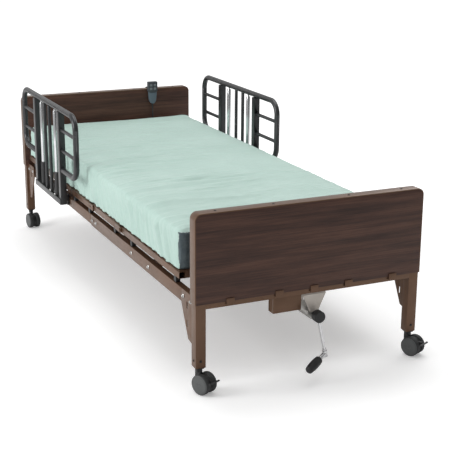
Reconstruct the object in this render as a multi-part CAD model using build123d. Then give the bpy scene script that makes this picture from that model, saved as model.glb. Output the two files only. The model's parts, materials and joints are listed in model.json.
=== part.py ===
from build123d import *
import os
from math import cos, pi, radians, sin, sqrt, tan

# An adjustable hospital bed for home care: hand-cranked height, motor-driven back and knee sections.
# Millimetres. X runs across the bed, +Y towards the head end, +Z up, z = 0 is the floor.
# The origin is on the floor, under the middle of the whole bed with its crank.

# ---------------------------------------------------------------- overall sizes
end_width = 914.0            # across a bed end
overall_length = 2290.0      # outer face of the foot end to outer face of the head end
foot_end_height = 656.0      # top of the foot end, bed fully lowered
head_end_height = 688.0      # top of the head end, bed fully lowered
leg_bottom = 94.0            # lower end of the outer legs, bed fully lowered
lift_travel = 203.0          # how far the legs telescope
crank_reach = 128.0          # how far the crank handle stands out past the foot end

# ---------------------------------------------------------------- bed ends
leg_side = 38.0
leg_wall = 2.0
slide_gap = 0.3              # each side, inner leg in outer leg
skin_thickness = 4.0         # each board of a bed end
panel_depth = leg_side + 2 * skin_thickness
band_thickness = 4.0         # edge band round the panel
band_radius = 25.0
panel_bottom = 330.0
crossbar_bottom = 311.0
top_clearance = 30.0         # outer legs stop this far under the top of the end
carriage_height = 20.0
carriage_depth = 12.0
carriage_gap = 9.0           # carriage to top rail, bed lowered
clip_size = (32.0, 3.0, 24.0)
clip_places = (-324.0, -133.0, 8.0, 150.0, 337.0)
screw_places = (-373.0, -151.0, 151.0, 373.0)
panel_screw = (4.0, 2.2)     # radius and height of a screw head on the band
shaft_passage = 10.0         # radius of the holes that the lift screw passes through
nut_size = (40.0, 30.0)      # the carriage nut, across and along the bed
stop_box = (-154.0, -42.0)   # a folded box under the foot crossbar, its two sides
stop_box_bottom = 254.0
sheet = 3.0                  # folded steel sheet

# ---------------------------------------------------------------- lift drive
shaft_x = 10.0               # the drive line runs a little off the middle
shaft_height = 233.0
shaft_radius = 6.5
screw_radius = 7.0
running_gap = 0.05           # radial, shafts and pins in their bores
housing_radius = 24.0
housing_front = 4.0          # from the outer face of the end
housing_length = 81.0
housing_wall = 4.0
housing_neck = 15.0          # radius of the neck up to the bracket
neck_gap = 6.0               # neck to crossbar
gear_bore_gap = 0.1          # radial, shafts through the housings and the hanger
bracket_half = (47.0, 15.0)  # half widths of the gearbox bracket, above and below
hanger_depth = 60.0          # the shaft hanger, along the bed
hanger_reach = (110.0, 20.0) # and across it, each side of the shaft
hanger_leg = 16.0            # its legs start this far to the left of the shaft
hanger_apron = 48.0          # height of the hanger beside its legs
hanger_foot = 14.0           # its legs end this far under the shaft
shaft_cover_radius = 13.0    # sleeve tube over the middle of the shaft
gear_radius = 14.0
gear_width = 7.0
gear_gap = 1.0

# ---------------------------------------------------------------- crank
hub_radius = 22.0
hub_front = 48.0             # front face of the hub, from the outer face of the foot end
hub_length = 30.0
arm_radius = 6.0
arm_length = 152.0
arm_lean = 12.0              # degrees the arm hangs off plumb
elbow_radius = 9.0
elbow_height = 26.0
grip_radius = 16.5
grip_turn = 57.0             # degrees the grip points off square
grip_flat = 88.0             # and off square when it is folded either way
stub_length = 46.0           # bright stub of the elbow, before the grip
spindle_radius = 4.0
hub_round = 4.0
grip_round = 5.0

# ---------------------------------------------------------------- casters
wheel_radius = 37.5
wheel_width = 22.0
caster_width = 58.0
caster_trail = 26.0
axle_radius = 4.0
stem_radius = 5.5
stem_depth = 36.0
foot_caster_turn = 25.0
head_caster_turn = 6.0
hood_gap = 4.0               # hood inside the rim of the wheels
collar_radius = 11.0
neck_width = 24.0
tyre_round = 7.0
pedal_start = 7.5            # the brake tread, from its pivot
pedal_reach = 17.0
pedal_thickness = 5.0
pedal_pin = 2.0

# ---------------------------------------------------------------- side frame
frame_inset = 17.0           # side channels inside the width of the ends
frame_half_width = end_width / 2 - frame_inset
channel_height = 50.0
channel_width = 25.0
channel_wall = 2.5
channel_bottom = 291.0
splice_start = 1125.0        # distances along the bed are from the outer face of the foot end
splice_end = 1205.0
frame_foot_gap = 60.0
cross_tube = 25.0
cross_tube_bottom = 308.0
foot_cross_tubes = (150.0, 520.0, 865.0)
head_tube_gap = 120.0
head_cross_tubes = (1655.0, overall_length - head_tube_gap)
gusset = 4.0                 # corner plates
gusset_slots = (104.0, 297.0, 228.0)  # from the outer face, and the height of each slot
slot_size = (9.0, 26.0)
bolt_head = (7.0, 5.0)       # radius and height
frame_bolt_places = (500.0, 690.0)
gusset_bolt_places = (70.0, 140.0)
gusset_bolt_height = 320.0

# ---------------------------------------------------------------- mattress deck
deck_tube = 25.0
deck_wall = 1.5
deck_top = 391.0
deck_clear = 0.6             # moving sections inside the hinge plates
slat_thickness = 2.5
slat_width = 45.0
back_hinge = 1500.0
thigh_hinge = 1200.0
knee_hinge = 815.0
deck_start = 190.0
head_gap = 68.0
deck_end = overall_length - head_gap
hinge_gap = 16.0             # deck tube end to hinge centre
hinge_plate = 4.0
hinge_plate_reach = 35.0
knee_plate_reach = 60.0
support_width = 18.0
support_depth = 20.0
seat_support_gap = 40.0      # standoffs of the fixed seat, from its hinges
pad_places = (236.0, 700.0, 900.0)
back_pad_places = (1750.0, overall_length - 160.0)
pad_gap = 1.0                # rest pads under the moving sections
tongue_radius = 12.0
tongue_width = 11.0
pin_radius = 5.0
pin_head_radius = 8.0

# ---------------------------------------------------------------- mattress
mattress_overhang = 5.0      # past the side channels
mattress_width = 2 * (frame_half_width + mattress_overhang)
mattress_thickness = 152.0
soft_gap = 0.3
back_bend = (60.0, 170.0)    # foam that folds, each side of the back hinge
thigh_bend = (60.0, 35.0)    # and each side of the thigh hinge

# ---------------------------------------------------------------- actuators
push_radius = 110.0
back_angle = 60.0            # degrees the backrest rises
thigh_angle = 30.0
back_actuator_x = 60.0
thigh_actuator_x = -60.0
push_plate = 6.0
push_slot = (9.5, 9.0)       # half length and radius of the slot that the actuator's pin slides in
rod_radius = 10.0
tube_radius = 18.0
fork_tine = 6.0
fork_gap = 2.0
motor_radius = 22.0
motor_length = 140.0
tail_lug = (12.0, 24.0)      # width and height of the tail lug
gear_head = (48.0, 56.0)     # width and height of the gear head
gear_head_span = (20.0, 95.0)  # from the tail pin
tube_stop = 70.0             # outer tube to pushing pin
rod_crown = 48.0             # fork crown to pushing pin
mount_cheek = 6.0
back_tail = 900.0
thigh_tail = 1620.0

# ---------------------------------------------------------------- side rails
rail_gap = 45.0              # channel face to the middle of a rail
rail_x = frame_half_width + rail_gap
rail_middle = 1671.0
rail_half_length = 423.0
rail_tube_radius = 12.7
rail_wall = 1.6
rail_top = 762.0
rail_bottom = 485.0
rail_corner = 62.0
rung_heights = (576.0, 670.0)
rung_radius = 8.0
post_spread = 196.0          # wide posts, each side of the middle
post_width = 30.0
post_depth = 28.0
post_foot = 324.0
slider_spread = 112.0        # bright sliding posts
slider_radius = 9.5
slider_foot = 396.0
bar_spread = 38.0
bar_radius = 8.0
sleeve_wall = 3.5
sleeve_radius = slider_radius + sleeve_wall
sleeve_foot = 320.0
sleeve_top = 456.0
strap_height = 25.0
strap_thickness = 4.0
rail_travel = 240.0
base_bar_gap = 7.0
base_bar_width = 18.0
base_bar = (frame_half_width + base_bar_gap, frame_half_width + base_bar_gap + base_bar_width)
ring_spread = 88.0
ring_height = 304.0
ring_radius = 10.0
ring_wire = 1.6
release_radius = 3.0
base_bar_height = 25.0
base_bar_reach = 38.0        # base bar past the sliding posts
base_pad = (44.0, 300.0)     # bracket pads on the channel, their width and lower edge
sleeve_gap = 0.1             # radial, sliding posts in their sleeves

# ---------------------------------------------------------------- hand control
pendant_x = 241.0
pendant_width = 52.0
pendant_depth = 24.0
pendant_rise = 40.0          # above the head end
pendant_length = 117.0
pendant_top = head_end_height + pendant_rise
pendant_foot = pendant_top - pendant_length
pendant_gap = 3.0            # hand control to the bed end
key_size = (14.0, 12.0)
key_travel = 1.5
cord_radius = 3.0
relief_radius = 5.0
relief_length = 22.0
cord_seat = 10.0             # how far the cord goes into the relief and the gland
key_gap = 0.3                # round each key
key_proud = 2.0
key_rows = (18.0, 37.0)      # from the top of the hand control
key_columns = (-11.0, 11.0)
hook_width = 30.0
hook_sheet = 3.0

# ---------------------------------------------------------------- worked out once
foot_face = -(overall_length - crank_reach) / 2
head_face = foot_face + overall_length
leg_outer = end_width / 2 - band_thickness
leg_x = leg_outer - leg_side / 2
leg_inset = panel_depth / 2
crossbar_top = crossbar_bottom + leg_side
channel_top = channel_bottom + channel_height
hinge_height = deck_top - deck_tube / 2
deck_bottom = deck_top - deck_tube
mattress_bottom = deck_top + slat_thickness + soft_gap
mattress_top = mattress_bottom + mattress_thickness
moving_half_width = frame_half_width - deck_clear
inner_leg_side = leg_side - 2 * leg_wall - 2 * slide_gap
stem_bore = stem_radius + running_gap
base_bar_foot = sleeve_foot + 5
base_bar_x = sum(base_bar) / 2
pin_bore = pin_radius + running_gap


def along(distance):
    """Y of a place that is this far from the outer face of the foot end."""
    return foot_face + distance


def block(x, y, z):
    """A box from (low, high) pairs."""
    size = (x[1] - x[0], y[1] - y[0], z[1] - z[0])
    middle = ((x[0] + x[1]) / 2, (y[0] + y[1]) / 2, (z[0] + z[1]) / 2)
    return Pos(*middle) * Box(*size)


def around(middle, size):
    """A (low, high) pair about a middle."""
    return (middle - size / 2, middle + size / 2)


def rod(start, end, radius):
    """A round bar between two points."""
    line = Vector(*end) - Vector(*start)
    plane = Plane(origin=start, z_dir=line)
    return extrude(plane * Circle(radius), line.length)


def both_sides(shapes):
    """Each shape and its mirror image across the middle of the bed."""
    return [s for shape in shapes for s in (shape, mirror(shape, Plane.YZ))]


def square_tube(x, y, z, wall, axis):
    """A hollow box section, open at both ends along one axis."""
    inside = {"x": x, "y": y, "z": z}
    for name, span in inside.items():
        grow = 1.0 if name == axis else -wall
        inside[name] = (span[0] - grow, span[1] + grow)
    return block(x, y, z) - block(inside["x"], inside["y"], inside["z"])


def plate_yz(x, outline):
    """A flat plate across X, cut to an outline of (y, z) points."""
    face = Plane.YZ.offset(x[0]) * make_face(Polyline(*outline, close=True))
    return extrude(face, x[1] - x[0], dir=(1, 0, 0))


# ================================================================ bed ends
class BedEnd:
    """Places on one bed end: where its outer face is and which way the bed lies."""

    def __init__(self, face, inward, height):
        self.face = face
        self.inward = inward
        self.height = height
        self.leg_y = face + inward * leg_inset
        self.rail_top = height - band_thickness
        self.carriage_top = self.rail_top - leg_side - carriage_gap
        self.carriage_bottom = self.carriage_top - carriage_height

    def depth(self, near, far):
        """A (low, high) pair in Y, from two distances behind the outer face."""
        return tuple(sorted((self.face + self.inward * near, self.face + self.inward * far)))


foot_end = BedEnd(foot_face, 1, foot_end_height)
head_end = BedEnd(head_face, -1, head_end_height)


def upright_bar(end, low, high, radius):
    """A round bar on the line of a lift screw."""
    return rod((shaft_x, end.leg_y, low), (shaft_x, end.leg_y, high), radius)


def end_frame(end):
    """Two outer legs, the crossbar under the panel and the rail inside its top."""
    y = around(end.leg_y, leg_side)
    leg = square_tube(around(leg_x, leg_side), y, (leg_bottom, end.height - top_clearance), leg_wall, "z")
    slot_z = (end.carriage_bottom - lift_travel - 2, end.carriage_top + 2)
    leg -= block((leg_x - leg_side / 2 - 1, leg_x), around(end.leg_y, carriage_depth + 1), slot_z)
    reach = (-leg_x + leg_side / 2, leg_x - leg_side / 2)
    crossbar = square_tube(reach, y, (crossbar_bottom, crossbar_top), leg_wall, "x")
    passage = upright_bar(end, crossbar_bottom - 1, crossbar_top + 1, shaft_passage)
    top_rail = square_tube(reach, y, (end.rail_top - leg_side, end.rail_top), leg_wall, "x")
    return both_sides([leg]) + [crossbar - passage, top_rail]


def edge_band(end):
    """A metal band up one side of the panel, over its rounded corners and down the other."""
    def outline(half_width, top, radius):
        path = Pos(0, (top + panel_bottom - radius * 2) / 2) * RectangleRounded(
            half_width * 2, top - panel_bottom + radius * 2, radius
        )
        return path

    outer = outline(end_width / 2, end.height, band_radius)
    inner = outline(leg_outer, end.rail_top, band_radius - band_thickness)
    below = Pos(0, panel_bottom - 100) * Rectangle(end_width + 10, 200)
    y = end.depth(0, panel_depth)
    face = Plane(origin=(0, y[1], 0), x_dir=(1, 0, 0), z_dir=(0, -1, 0)) * (outer - inner - below)
    return extrude(face, panel_depth)


def panel_skins(end):
    """The wood-grain boards on both faces of a bed end."""
    top = end.rail_top
    radius = band_radius - band_thickness
    shape = Pos(0, (top + panel_bottom) / 2) * Rectangle(leg_outer * 2, top - panel_bottom)
    shape = fillet(shape.vertices().group_by(Axis.Y)[-1], radius)
    skins = []
    for near in (0, panel_depth - skin_thickness):
        y = end.depth(near, near + skin_thickness)
        face = Plane(origin=(0, y[1], 0), x_dir=(1, 0, 0), z_dir=(0, -1, 0)) * shape
        skins.append(extrude(face, skin_thickness))
    return skins


def panel_clips(end):
    """Clips on the lower edge of the outer board, each hooked over it."""
    width, thickness, height = clip_size
    y = end.depth(-thickness, 0)
    clips = []
    for x in clip_places:
        front = block(around(x, width), y, (panel_bottom - height / 2, panel_bottom + height / 2))
        tail_z = (panel_bottom - height / 2, panel_bottom)
        tail = block(around(x, width), end.depth(0, skin_thickness), tail_z)
        clips.append(front + tail)
    return clips


def panel_screws(end):
    """Screws down through the band into the top rail."""
    radius, height = panel_screw
    return [
        rod((x, end.leg_y, end.height), (x, end.leg_y, end.height + height), radius) for x in screw_places
    ]


def stop_box_plates():
    """A folded box that hangs under the crossbar of the foot end, beside the gearbox."""
    z = (stop_box_bottom, crossbar_bottom)
    near, far = skin_thickness, skin_thickness + leg_side
    plates = [
        block(stop_box, foot_end.depth(near, near + sheet), z),
        block(stop_box, foot_end.depth(far - sheet, far), z),
    ]
    for low in (stop_box[0], stop_box[1] - sheet):
        plates.append(block((low, low + sheet), foot_end.depth(near + sheet, far - sheet), z))
    return plates


def inner_legs(end):
    """Telescoping legs, the carriage that joins them, its nut and the caster sockets."""
    y = around(end.leg_y, inner_leg_side)
    z = (leg_bottom - 2, end.carriage_top + 1)
    leg = square_tube(around(leg_x, inner_leg_side), y, z, leg_wall, "z")
    plug_side = inner_leg_side - 2 * leg_wall
    plug = block(around(leg_x, plug_side), around(end.leg_y, plug_side), (z[0], z[0] + stem_depth + 4))
    plug -= rod((leg_x, end.leg_y, z[0] - 1), (leg_x, end.leg_y, z[0] + stem_depth + 5), stem_bore)
    inner_face = leg_x - inner_leg_side / 2
    bar_z = (end.carriage_bottom, end.carriage_top)
    nut_x = around(shaft_x, nut_size[0])
    bars = [
        block((-inner_face, nut_x[0]), around(end.leg_y, carriage_depth), bar_z),
        block((nut_x[1], inner_face), around(end.leg_y, carriage_depth), bar_z),
    ]
    nut = block(nut_x, around(end.leg_y, nut_size[1]), bar_z)
    nut -= upright_bar(end, bar_z[0] - 1, bar_z[1] + 1, screw_radius + running_gap)
    return both_sides([leg, plug]) + bars + [nut]


# ================================================================ lift drive
def shaft_bar(start, stop, radius):
    """A round bar on the line of the drive shaft."""
    return rod((shaft_x, start, shaft_height), (shaft_x, stop, shaft_height), radius)


def gearbox(end):
    """A cast housing round the mitre gears, bored for the shaft and the lift screw."""
    y = end.depth(housing_front, housing_front + housing_length)
    body = shaft_bar(y[0], y[1], housing_radius)
    neck = upright_bar(end, shaft_height, crossbar_bottom - neck_gap, housing_neck)
    cavity = shaft_bar(y[0] + housing_wall, y[1] - housing_wall, housing_radius - housing_wall)
    shaft_bore = shaft_bar(y[0] - 1, y[1] + 1, shaft_radius + gear_bore_gap)
    screw_bore = upright_bar(end, shaft_height, crossbar_bottom, screw_radius + gear_bore_gap)
    return body + neck - cavity - shaft_bore - screw_bore


def gearbox_bracket(end):
    """A folded bracket that hangs a gearbox from the crossbar."""
    flange_z = (crossbar_bottom - sheet, crossbar_bottom)
    upper, lower = bracket_half
    flange = block(around(shaft_x, 2 * upper), around(end.leg_y, leg_side), flange_z)
    flange -= upright_bar(end, flange_z[0] - 1, flange_z[1] + 1, shaft_passage)
    y = end.depth(0, housing_front)
    foot = shaft_height + 6
    outline = Polyline((-upper, flange_z[0]), (upper, flange_z[0]), (lower, foot), (-lower, foot), close=True)
    web = Plane(origin=(shaft_x, y[1], 0), x_dir=(1, 0, 0), z_dir=(0, -1, 0)) * make_face(outline)
    web = extrude(web, housing_front)
    web -= shaft_bar(y[0] - 1, y[1] + 1, shaft_radius + 2)
    return [flange, web]


def lift_screw(end):
    """A vertical screw and the mitre gear on its lower end."""
    top = end.carriage_top + 6
    gear_z = shaft_height + gear_radius - gear_width
    stem = upright_bar(end, gear_z, top, screw_radius)
    gear = Pos(shaft_x, end.leg_y, gear_z) * Cone(
        gear_radius - gear_width, gear_radius, gear_width, align=(Align.CENTER, Align.CENTER, Align.MIN)
    )
    return stem + gear


def shaft_gear(end):
    """The mitre gear on the shaft, as a solid of revolution about the shaft."""
    near = end.leg_y + end.inward * (gear_radius - gear_width)
    plane = Plane(origin=(shaft_x, near, shaft_height), z_dir=(0, end.inward, 0))
    small, large = gear_radius - gear_width - gear_gap, gear_radius - gear_gap
    return plane * Cone(small, large, gear_width, align=(Align.CENTER, Align.CENTER, Align.MIN))


def drive_shaft():
    """The long shaft from the crank to the head-end gearbox, with its joining sleeve."""
    back = head_face - housing_front - 6
    front = along(-hub_front + hub_length)
    shaft = shaft_bar(front, back, shaft_radius)
    start, stop = along(foot_cross_tubes[0] + 60), along(head_cross_tubes[-1] - 60)
    sleeve = shaft_bar(start, stop, shaft_cover_radius)
    sleeve -= shaft_bar(start + 30, stop - 30, shaft_cover_radius - deck_wall)
    return shaft + sleeve + shaft_gear(foot_end) + shaft_gear(head_end)


def shaft_hanger():
    """Plates under a cross tube that steady the drive shaft: a top, two aprons and two legs."""
    y = around(along(foot_cross_tubes[0]), hanger_depth)
    x = (shaft_x - hanger_reach[0], shaft_x + hanger_reach[1])
    top = cross_tube_bottom - sheet
    apron_foot = cross_tube_bottom - hanger_apron
    plates = [block(x, y, (top, cross_tube_bottom))]
    for low in (y[0], y[1] - sheet):
        depth = (low, low + sheet)
        plates.append(block(x, depth, (apron_foot, top)))
        leg = block((shaft_x - hanger_leg, x[1]), depth, (shaft_height - hanger_foot, apron_foot))
        plates.append(leg - shaft_bar(low - 1, low + sheet + 1, shaft_radius + gear_bore_gap))
    return plates


# ================================================================ crank
arm_plane = along(-hub_front + hub_length / 2)
arm_direction = (sin(radians(arm_lean)), -cos(radians(arm_lean)))
arm_end = (
    shaft_x + arm_direction[0] * arm_length,
    arm_plane,
    shaft_height + arm_direction[1] * arm_length,
)
grip_direction = Vector(
    -cos(radians(arm_lean)) * sin(radians(grip_turn)),
    -cos(radians(grip_turn)),
    -sin(radians(arm_lean)) * sin(radians(grip_turn)),
)
# The far rim of the grip reaches crank_reach in front of the foot end.
grip_rim = grip_radius * sqrt(1 - grip_direction.Y ** 2)
grip_end_length = (arm_plane - (along(-crank_reach) + grip_rim)) / -grip_direction.Y


def crank_hub():
    """The black boss on the front end of the shaft, cross-bored for the arm."""
    y = (along(-hub_front), along(-hub_front + hub_length))
    hub = shaft_bar(y[0], y[1], hub_radius)
    hub = fillet(hub.edges().filter_by(GeomType.CIRCLE), hub_round)
    start = (shaft_x, arm_plane, shaft_height)
    return hub - rod(start, arm_end, arm_radius)


def crank_arm():
    """A round steel arm from the hub down to the elbow."""
    stop = tuple(
        a + (b - a) * (arm_length - elbow_height / 2) / arm_length
        for a, b in zip((shaft_x, arm_plane, shaft_height), arm_end)
    )
    start = (shaft_x, arm_plane, shaft_height)
    collar_end = tuple(b - (b - a) * 0.05 for a, b in zip(start, stop))
    return rod(start, stop, arm_radius) + rod(collar_end, stop, arm_radius + 1.5)


def crank_elbow():
    """The elbow that turns about the arm, and the spindle that the grip spins on."""
    up = Vector(-arm_direction[0], 0, -arm_direction[1])
    middle = Vector(*arm_end)
    top = middle + up * (elbow_height / 2 - 0.3)
    foot = middle - up * (elbow_height / 2)
    spindle_end = middle + grip_direction * (grip_end_length - 2)
    boss_end = middle + grip_direction * stub_length
    body = rod(tuple(foot), tuple(top), elbow_radius) + rod(tuple(middle), tuple(boss_end), elbow_radius - 1)
    return body + rod(tuple(middle), tuple(spindle_end), spindle_radius)


def crank_grip():
    """A turned plastic grip, loose on its spindle."""
    middle = Vector(*arm_end)
    start = middle + grip_direction * (stub_length + 0.5)
    end = middle + grip_direction * grip_end_length
    grip = rod(tuple(start), tuple(end), grip_radius)
    grip = fillet(grip.edges().filter_by(GeomType.CIRCLE), grip_round)
    bore_end = end - grip_direction * 1.8
    return grip - rod(tuple(start - grip_direction), tuple(bore_end), spindle_radius + running_gap)


# ================================================================ casters
class Caster:
    """One swivel caster: where its stem is and which way it has turned."""

    def __init__(self, side, end, turn, braked):
        self.turn = turn
        self.braked = braked
        self.stem = (side * leg_x, end.leg_y)
        self.axle = (cos(radians(turn)), sin(radians(turn)))
        self.travel = (sin(radians(turn)), -cos(radians(turn)))
        self.centre = (
            self.stem[0] + self.travel[0] * caster_trail,
            self.stem[1] + self.travel[1] * caster_trail,
        )

    def place(self):
        """Where a shape goes that is drawn with the axle along X and rolling towards -Y."""
        return Pos(self.centre[0], self.centre[1], 0) * Rot(0, 0, self.turn)

    def at(self, across, forward, z):
        """A point from its distance along the axle, along the way it rolls, and its height."""
        return (
            self.centre[0] + self.axle[0] * across + self.travel[0] * forward,
            self.centre[1] + self.axle[1] * across + self.travel[1] * forward,
            z,
        )


pedal_pivot = (wheel_radius + 1, wheel_radius + 16)     # ahead of the stem side of the axle, and its height
pedal_fork = ((-6, 6), (-pedal_pivot[0] - 5, -20), (pedal_pivot[1] - 6, pedal_pivot[1] + 6))


def caster_body(caster):
    """The hood between the wheels, the stem and the axle."""
    web_half = (caster_width - 2 * wheel_width) / 2 - 1
    top = leg_bottom - 2 - 0.4
    back = (-caster.travel[0], -caster.travel[1], 0)
    plane = Plane(origin=caster.at(-web_half, 0, wheel_radius), x_dir=back, z_dir=(*caster.axle, 0))
    hood = Circle(wheel_radius - hood_gap)
    neck = Pos(caster_trail, (top - wheel_radius) / 2 - 2) * Rectangle(neck_width, top - wheel_radius + 4)
    web = extrude(plane * (hood + neck), 2 * web_half)
    collar = rod((*caster.stem, 2 * wheel_radius + 1.5), (*caster.stem, top), collar_radius)
    stem = rod((*caster.stem, top), (*caster.stem, leg_bottom + stem_depth - 2), stem_radius)
    outer = caster_width / 2 - 3
    axle = rod(caster.at(-outer, 0, wheel_radius), caster.at(outer, 0, wheel_radius), axle_radius)
    whole = web + collar + stem + axle
    if caster.braked:
        forward, height = pedal_pivot
        slot = block((-3, 3), (-forward - 10, -forward + 6), (height - 20, height + 20))
        pivot = rod((-web_half, -forward, height), (web_half, -forward, height), pedal_pin)
        whole = whole + caster.place() * block(*pedal_fork) - caster.place() * slot + caster.place() * pivot
    return whole


def caster_wheels(caster):
    """A pair of wheels with domed faces, loose on the axle."""
    wheels = []
    for side in (-1, 1):
        inner = side * (caster_width / 2 - wheel_width)
        outer = side * caster_width / 2
        wheel = rod(caster.at(inner, 0, wheel_radius), caster.at(outer, 0, wheel_radius), wheel_radius)
        rims = wheel.edges().filter_by(GeomType.CIRCLE).sort_by_distance(caster.at(outer, 0, wheel_radius))
        wheel = fillet(rims[0], tyre_round)
        wheel -= rod(
            caster.at(inner - side, 0, wheel_radius),
            caster.at(outer - side * 2.9, 0, wheel_radius),
            axle_radius + running_gap,
        )
        wheels.append(wheel)
    return wheels


def brake_pedal(caster):
    """A foot lever that pivots between the wheels and treads across the front of them."""
    forward, height = pedal_pivot
    tread_y = (-forward - pedal_reach, -forward - pedal_start)
    tread = block(around(0, caster_width - 6), tread_y, (height - 2, height - 2 + pedal_thickness))
    arm = block(around(0, 5), (-forward - pedal_start - 1, -forward), (height - 3, height + 3))
    eye = rod((-2.5, -forward, height), (2.5, -forward, height), 4.5)
    bore = rod((-3, -forward, height), (3, -forward, height), pedal_pin + running_gap)
    return caster.place() * (tread + arm + eye - bore)


casters = {
    "foot_left": Caster(-1, foot_end, foot_caster_turn, True),
    "foot_right": Caster(1, foot_end, foot_caster_turn, True),
    "head_left": Caster(-1, head_end, head_caster_turn, False),
    "head_right": Caster(1, head_end, head_caster_turn, False),
}


# ================================================================ side frame
def corner_brackets():
    """Slotted gusset plates that hook the side frame onto the bed ends."""
    plates = []
    outer = frame_half_width + gusset
    for end in (foot_end, head_end):
        near = panel_depth - skin_thickness
        top = channel_top + 4
        outline = [(near, panel_bottom), (panel_depth, panel_bottom), (panel_depth, top), (152, top)]
        outline += [(160, 296), (96, 172), (64, 166), (near, 186)]
        points = [(end.face + end.inward * d, z) for d, z in outline]
        plate = plate_yz((frame_half_width, outer), points)
        y = end.face + end.inward * gusset_slots[0]
        for z in gusset_slots[1:]:
            slot = block((frame_half_width - 1, outer + 1), around(y, slot_size[0]), around(z, slot_size[1]))
            plate -= slot
        plates.append(plate)
    return both_sides(plates)


def side_channel(outer, y, z):
    """A folded channel, its web outside and its flanges turned in."""
    web = (outer - channel_wall, outer)
    whole = block((outer - channel_width, outer), y, z)
    inside_z = (z[0] + channel_wall, z[1] - channel_wall)
    return whole - block((outer - channel_width - 1, web[0]), (y[0] - 1, y[1] + 1), inside_z)


def side_frame(outer, y, z, places):
    """A pair of side channels and the cross tubes between their webs."""
    shapes = both_sides([side_channel(outer, y, z)])
    reach = outer - channel_wall
    tube_z = (cross_tube_bottom, cross_tube_bottom + cross_tube)
    for place in places:
        shapes.append(
            square_tube((-reach, reach), around(along(place), cross_tube), tube_z, deck_wall, "x")
        )
    return shapes


def foot_side_frame():
    """The foot half of the side frame."""
    y = (along(frame_foot_gap), along(splice_end))
    return side_frame(frame_half_width, y, (channel_bottom, channel_top), foot_cross_tubes)


def head_side_frame():
    """The head half, which nests inside the foot half at the splice."""
    y = (along(splice_start), head_face - frame_foot_gap)
    z = (channel_bottom + channel_wall, channel_top - channel_wall)
    return side_frame(frame_half_width - channel_wall, y, z, head_cross_tubes)


def frame_bolts():
    """Bolt heads of the splice, the corners and the box under the foot crossbar."""
    radius, height = bolt_head
    bolts = []
    middle = channel_bottom + channel_height / 2
    for d in (splice_start + 15, splice_end - 15, *frame_bolt_places):
        start = (frame_half_width, along(d), middle)
        bolts.append(rod(start, (frame_half_width + height, along(d), middle), radius))
    seat = frame_half_width + gusset
    for end in (foot_end, head_end):
        for d in gusset_bolt_places:
            y = end.face + end.inward * d
            start = (seat, y, gusset_bolt_height)
            bolts.append(rod(start, (seat + height, y, gusset_bolt_height), radius))
    x, z = sum(stop_box) / 2, (stop_box_bottom + crossbar_bottom) / 2
    y = foot_end.depth(skin_thickness - height, skin_thickness)
    return both_sides(bolts) + [rod((x, y[0], z), (x, y[1], z), radius + 2)]


# ================================================================ mattress deck
def slat_row(start, stop, count, half_width):
    """Flat steel slats across the top of a deck section."""
    pitch = (stop - start - slat_width) / (count - 1)
    return [
        block(
            (-half_width, half_width),
            (along(start + i * pitch), along(start + i * pitch + slat_width)),
            (deck_top, deck_top + slat_thickness),
        )
        for i in range(count)
    ]


def deck_section(start, stop, count, half_width):
    """Side tubes, end cross tubes and slats of one deck section."""
    z = (deck_bottom, deck_top)
    side = square_tube((half_width - deck_tube, half_width), (along(start), along(stop)), z, deck_wall, "y")
    inner = half_width - deck_tube
    shapes = both_sides([side])
    for low in (start, stop - deck_tube):
        y = (along(low), along(low + deck_tube))
        shapes.append(square_tube((-inner, inner), y, z, deck_wall, "x"))
    return shapes + slat_row(start + 6, stop - 6, count, half_width - 4)


def hinge_tongue(place, towards):
    """A rounded lug on the end of a side tube, bored for the hinge pin."""
    x = (moving_half_width - tongue_width, moving_half_width)
    y = along(place)
    eye = rod((x[0], y, hinge_height), (x[1], y, hinge_height), tongue_radius)
    far = y + towards * hinge_gap
    bar = block(x, tuple(sorted((y, far))), around(hinge_height, 2 * tongue_radius))
    bore = rod((x[0] - 1, y, hinge_height), (x[1] + 1, y, hinge_height), pin_bore)
    return eye + bar - bore


def pinned_plate(x, low, high, places):
    """A side plate with a round eye and a fixed pin at each hinge, heads outside."""
    plate = block(x, (along(low), along(high)), around(hinge_height, deck_tube))
    for place in places:
        plate += rod((x[0], along(place), hinge_height), (x[1], along(place), hinge_height), deck_tube / 2)
    pins = []
    for place in places:
        y = along(place)
        plate -= rod((x[0] - 1, y, hinge_height), (x[1] + 1, y, hinge_height), pin_radius)
        shank = rod((x[0] - tongue_width - 2, y, hinge_height), (x[1], y, hinge_height), pin_radius)
        pins.append(shank + rod((x[1], y, hinge_height), (x[1] + 4, y, hinge_height), pin_head_radius))
    return plate, pins


def push_arm(x, hinge, angle, cross_start):
    """A slotted plate under a deck section that an actuator pushes on."""
    y, z = along(hinge), hinge_height
    tip = (y + push_radius * cos(radians(angle)), z + push_radius * sin(radians(angle)))
    along_arm = Vector(cos(radians(angle)), sin(radians(angle)))
    across = Vector(-along_arm.Y, along_arm.X)
    low, high = sorted((along(cross_start), along(cross_start + deck_tube)))
    end = [
        (tip[0] + along_arm.X * 25 + across.X * s, tip[1] + along_arm.Y * 25 + across.Y * s)
        for s in (-18, 18)
    ]
    end.sort()
    outline = [(low, deck_bottom), (high, deck_bottom), end[1], end[0]]
    arm = plate_yz(around(x, push_plate), outline)
    shift, radius = push_slot
    near = (tip[0] - along_arm.X * shift, tip[1] - along_arm.Y * shift)
    far = (tip[0] + along_arm.X * shift, tip[1] + along_arm.Y * shift)
    for centre in (near, far):
        arm -= rod((x - 10, *centre), (x + 10, *centre), radius)
    corners = [
        (point[0] + across.X * s * radius, point[1] + across.Y * s * radius)
        for point, s in ((near, 1), (far, 1), (far, -1), (near, -1))
    ]
    return arm - plate_yz((x - 10, x + 10), corners)


back_arm_start = -90 - back_angle / 2
thigh_arm_start = -90 + thigh_angle / 2


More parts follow.
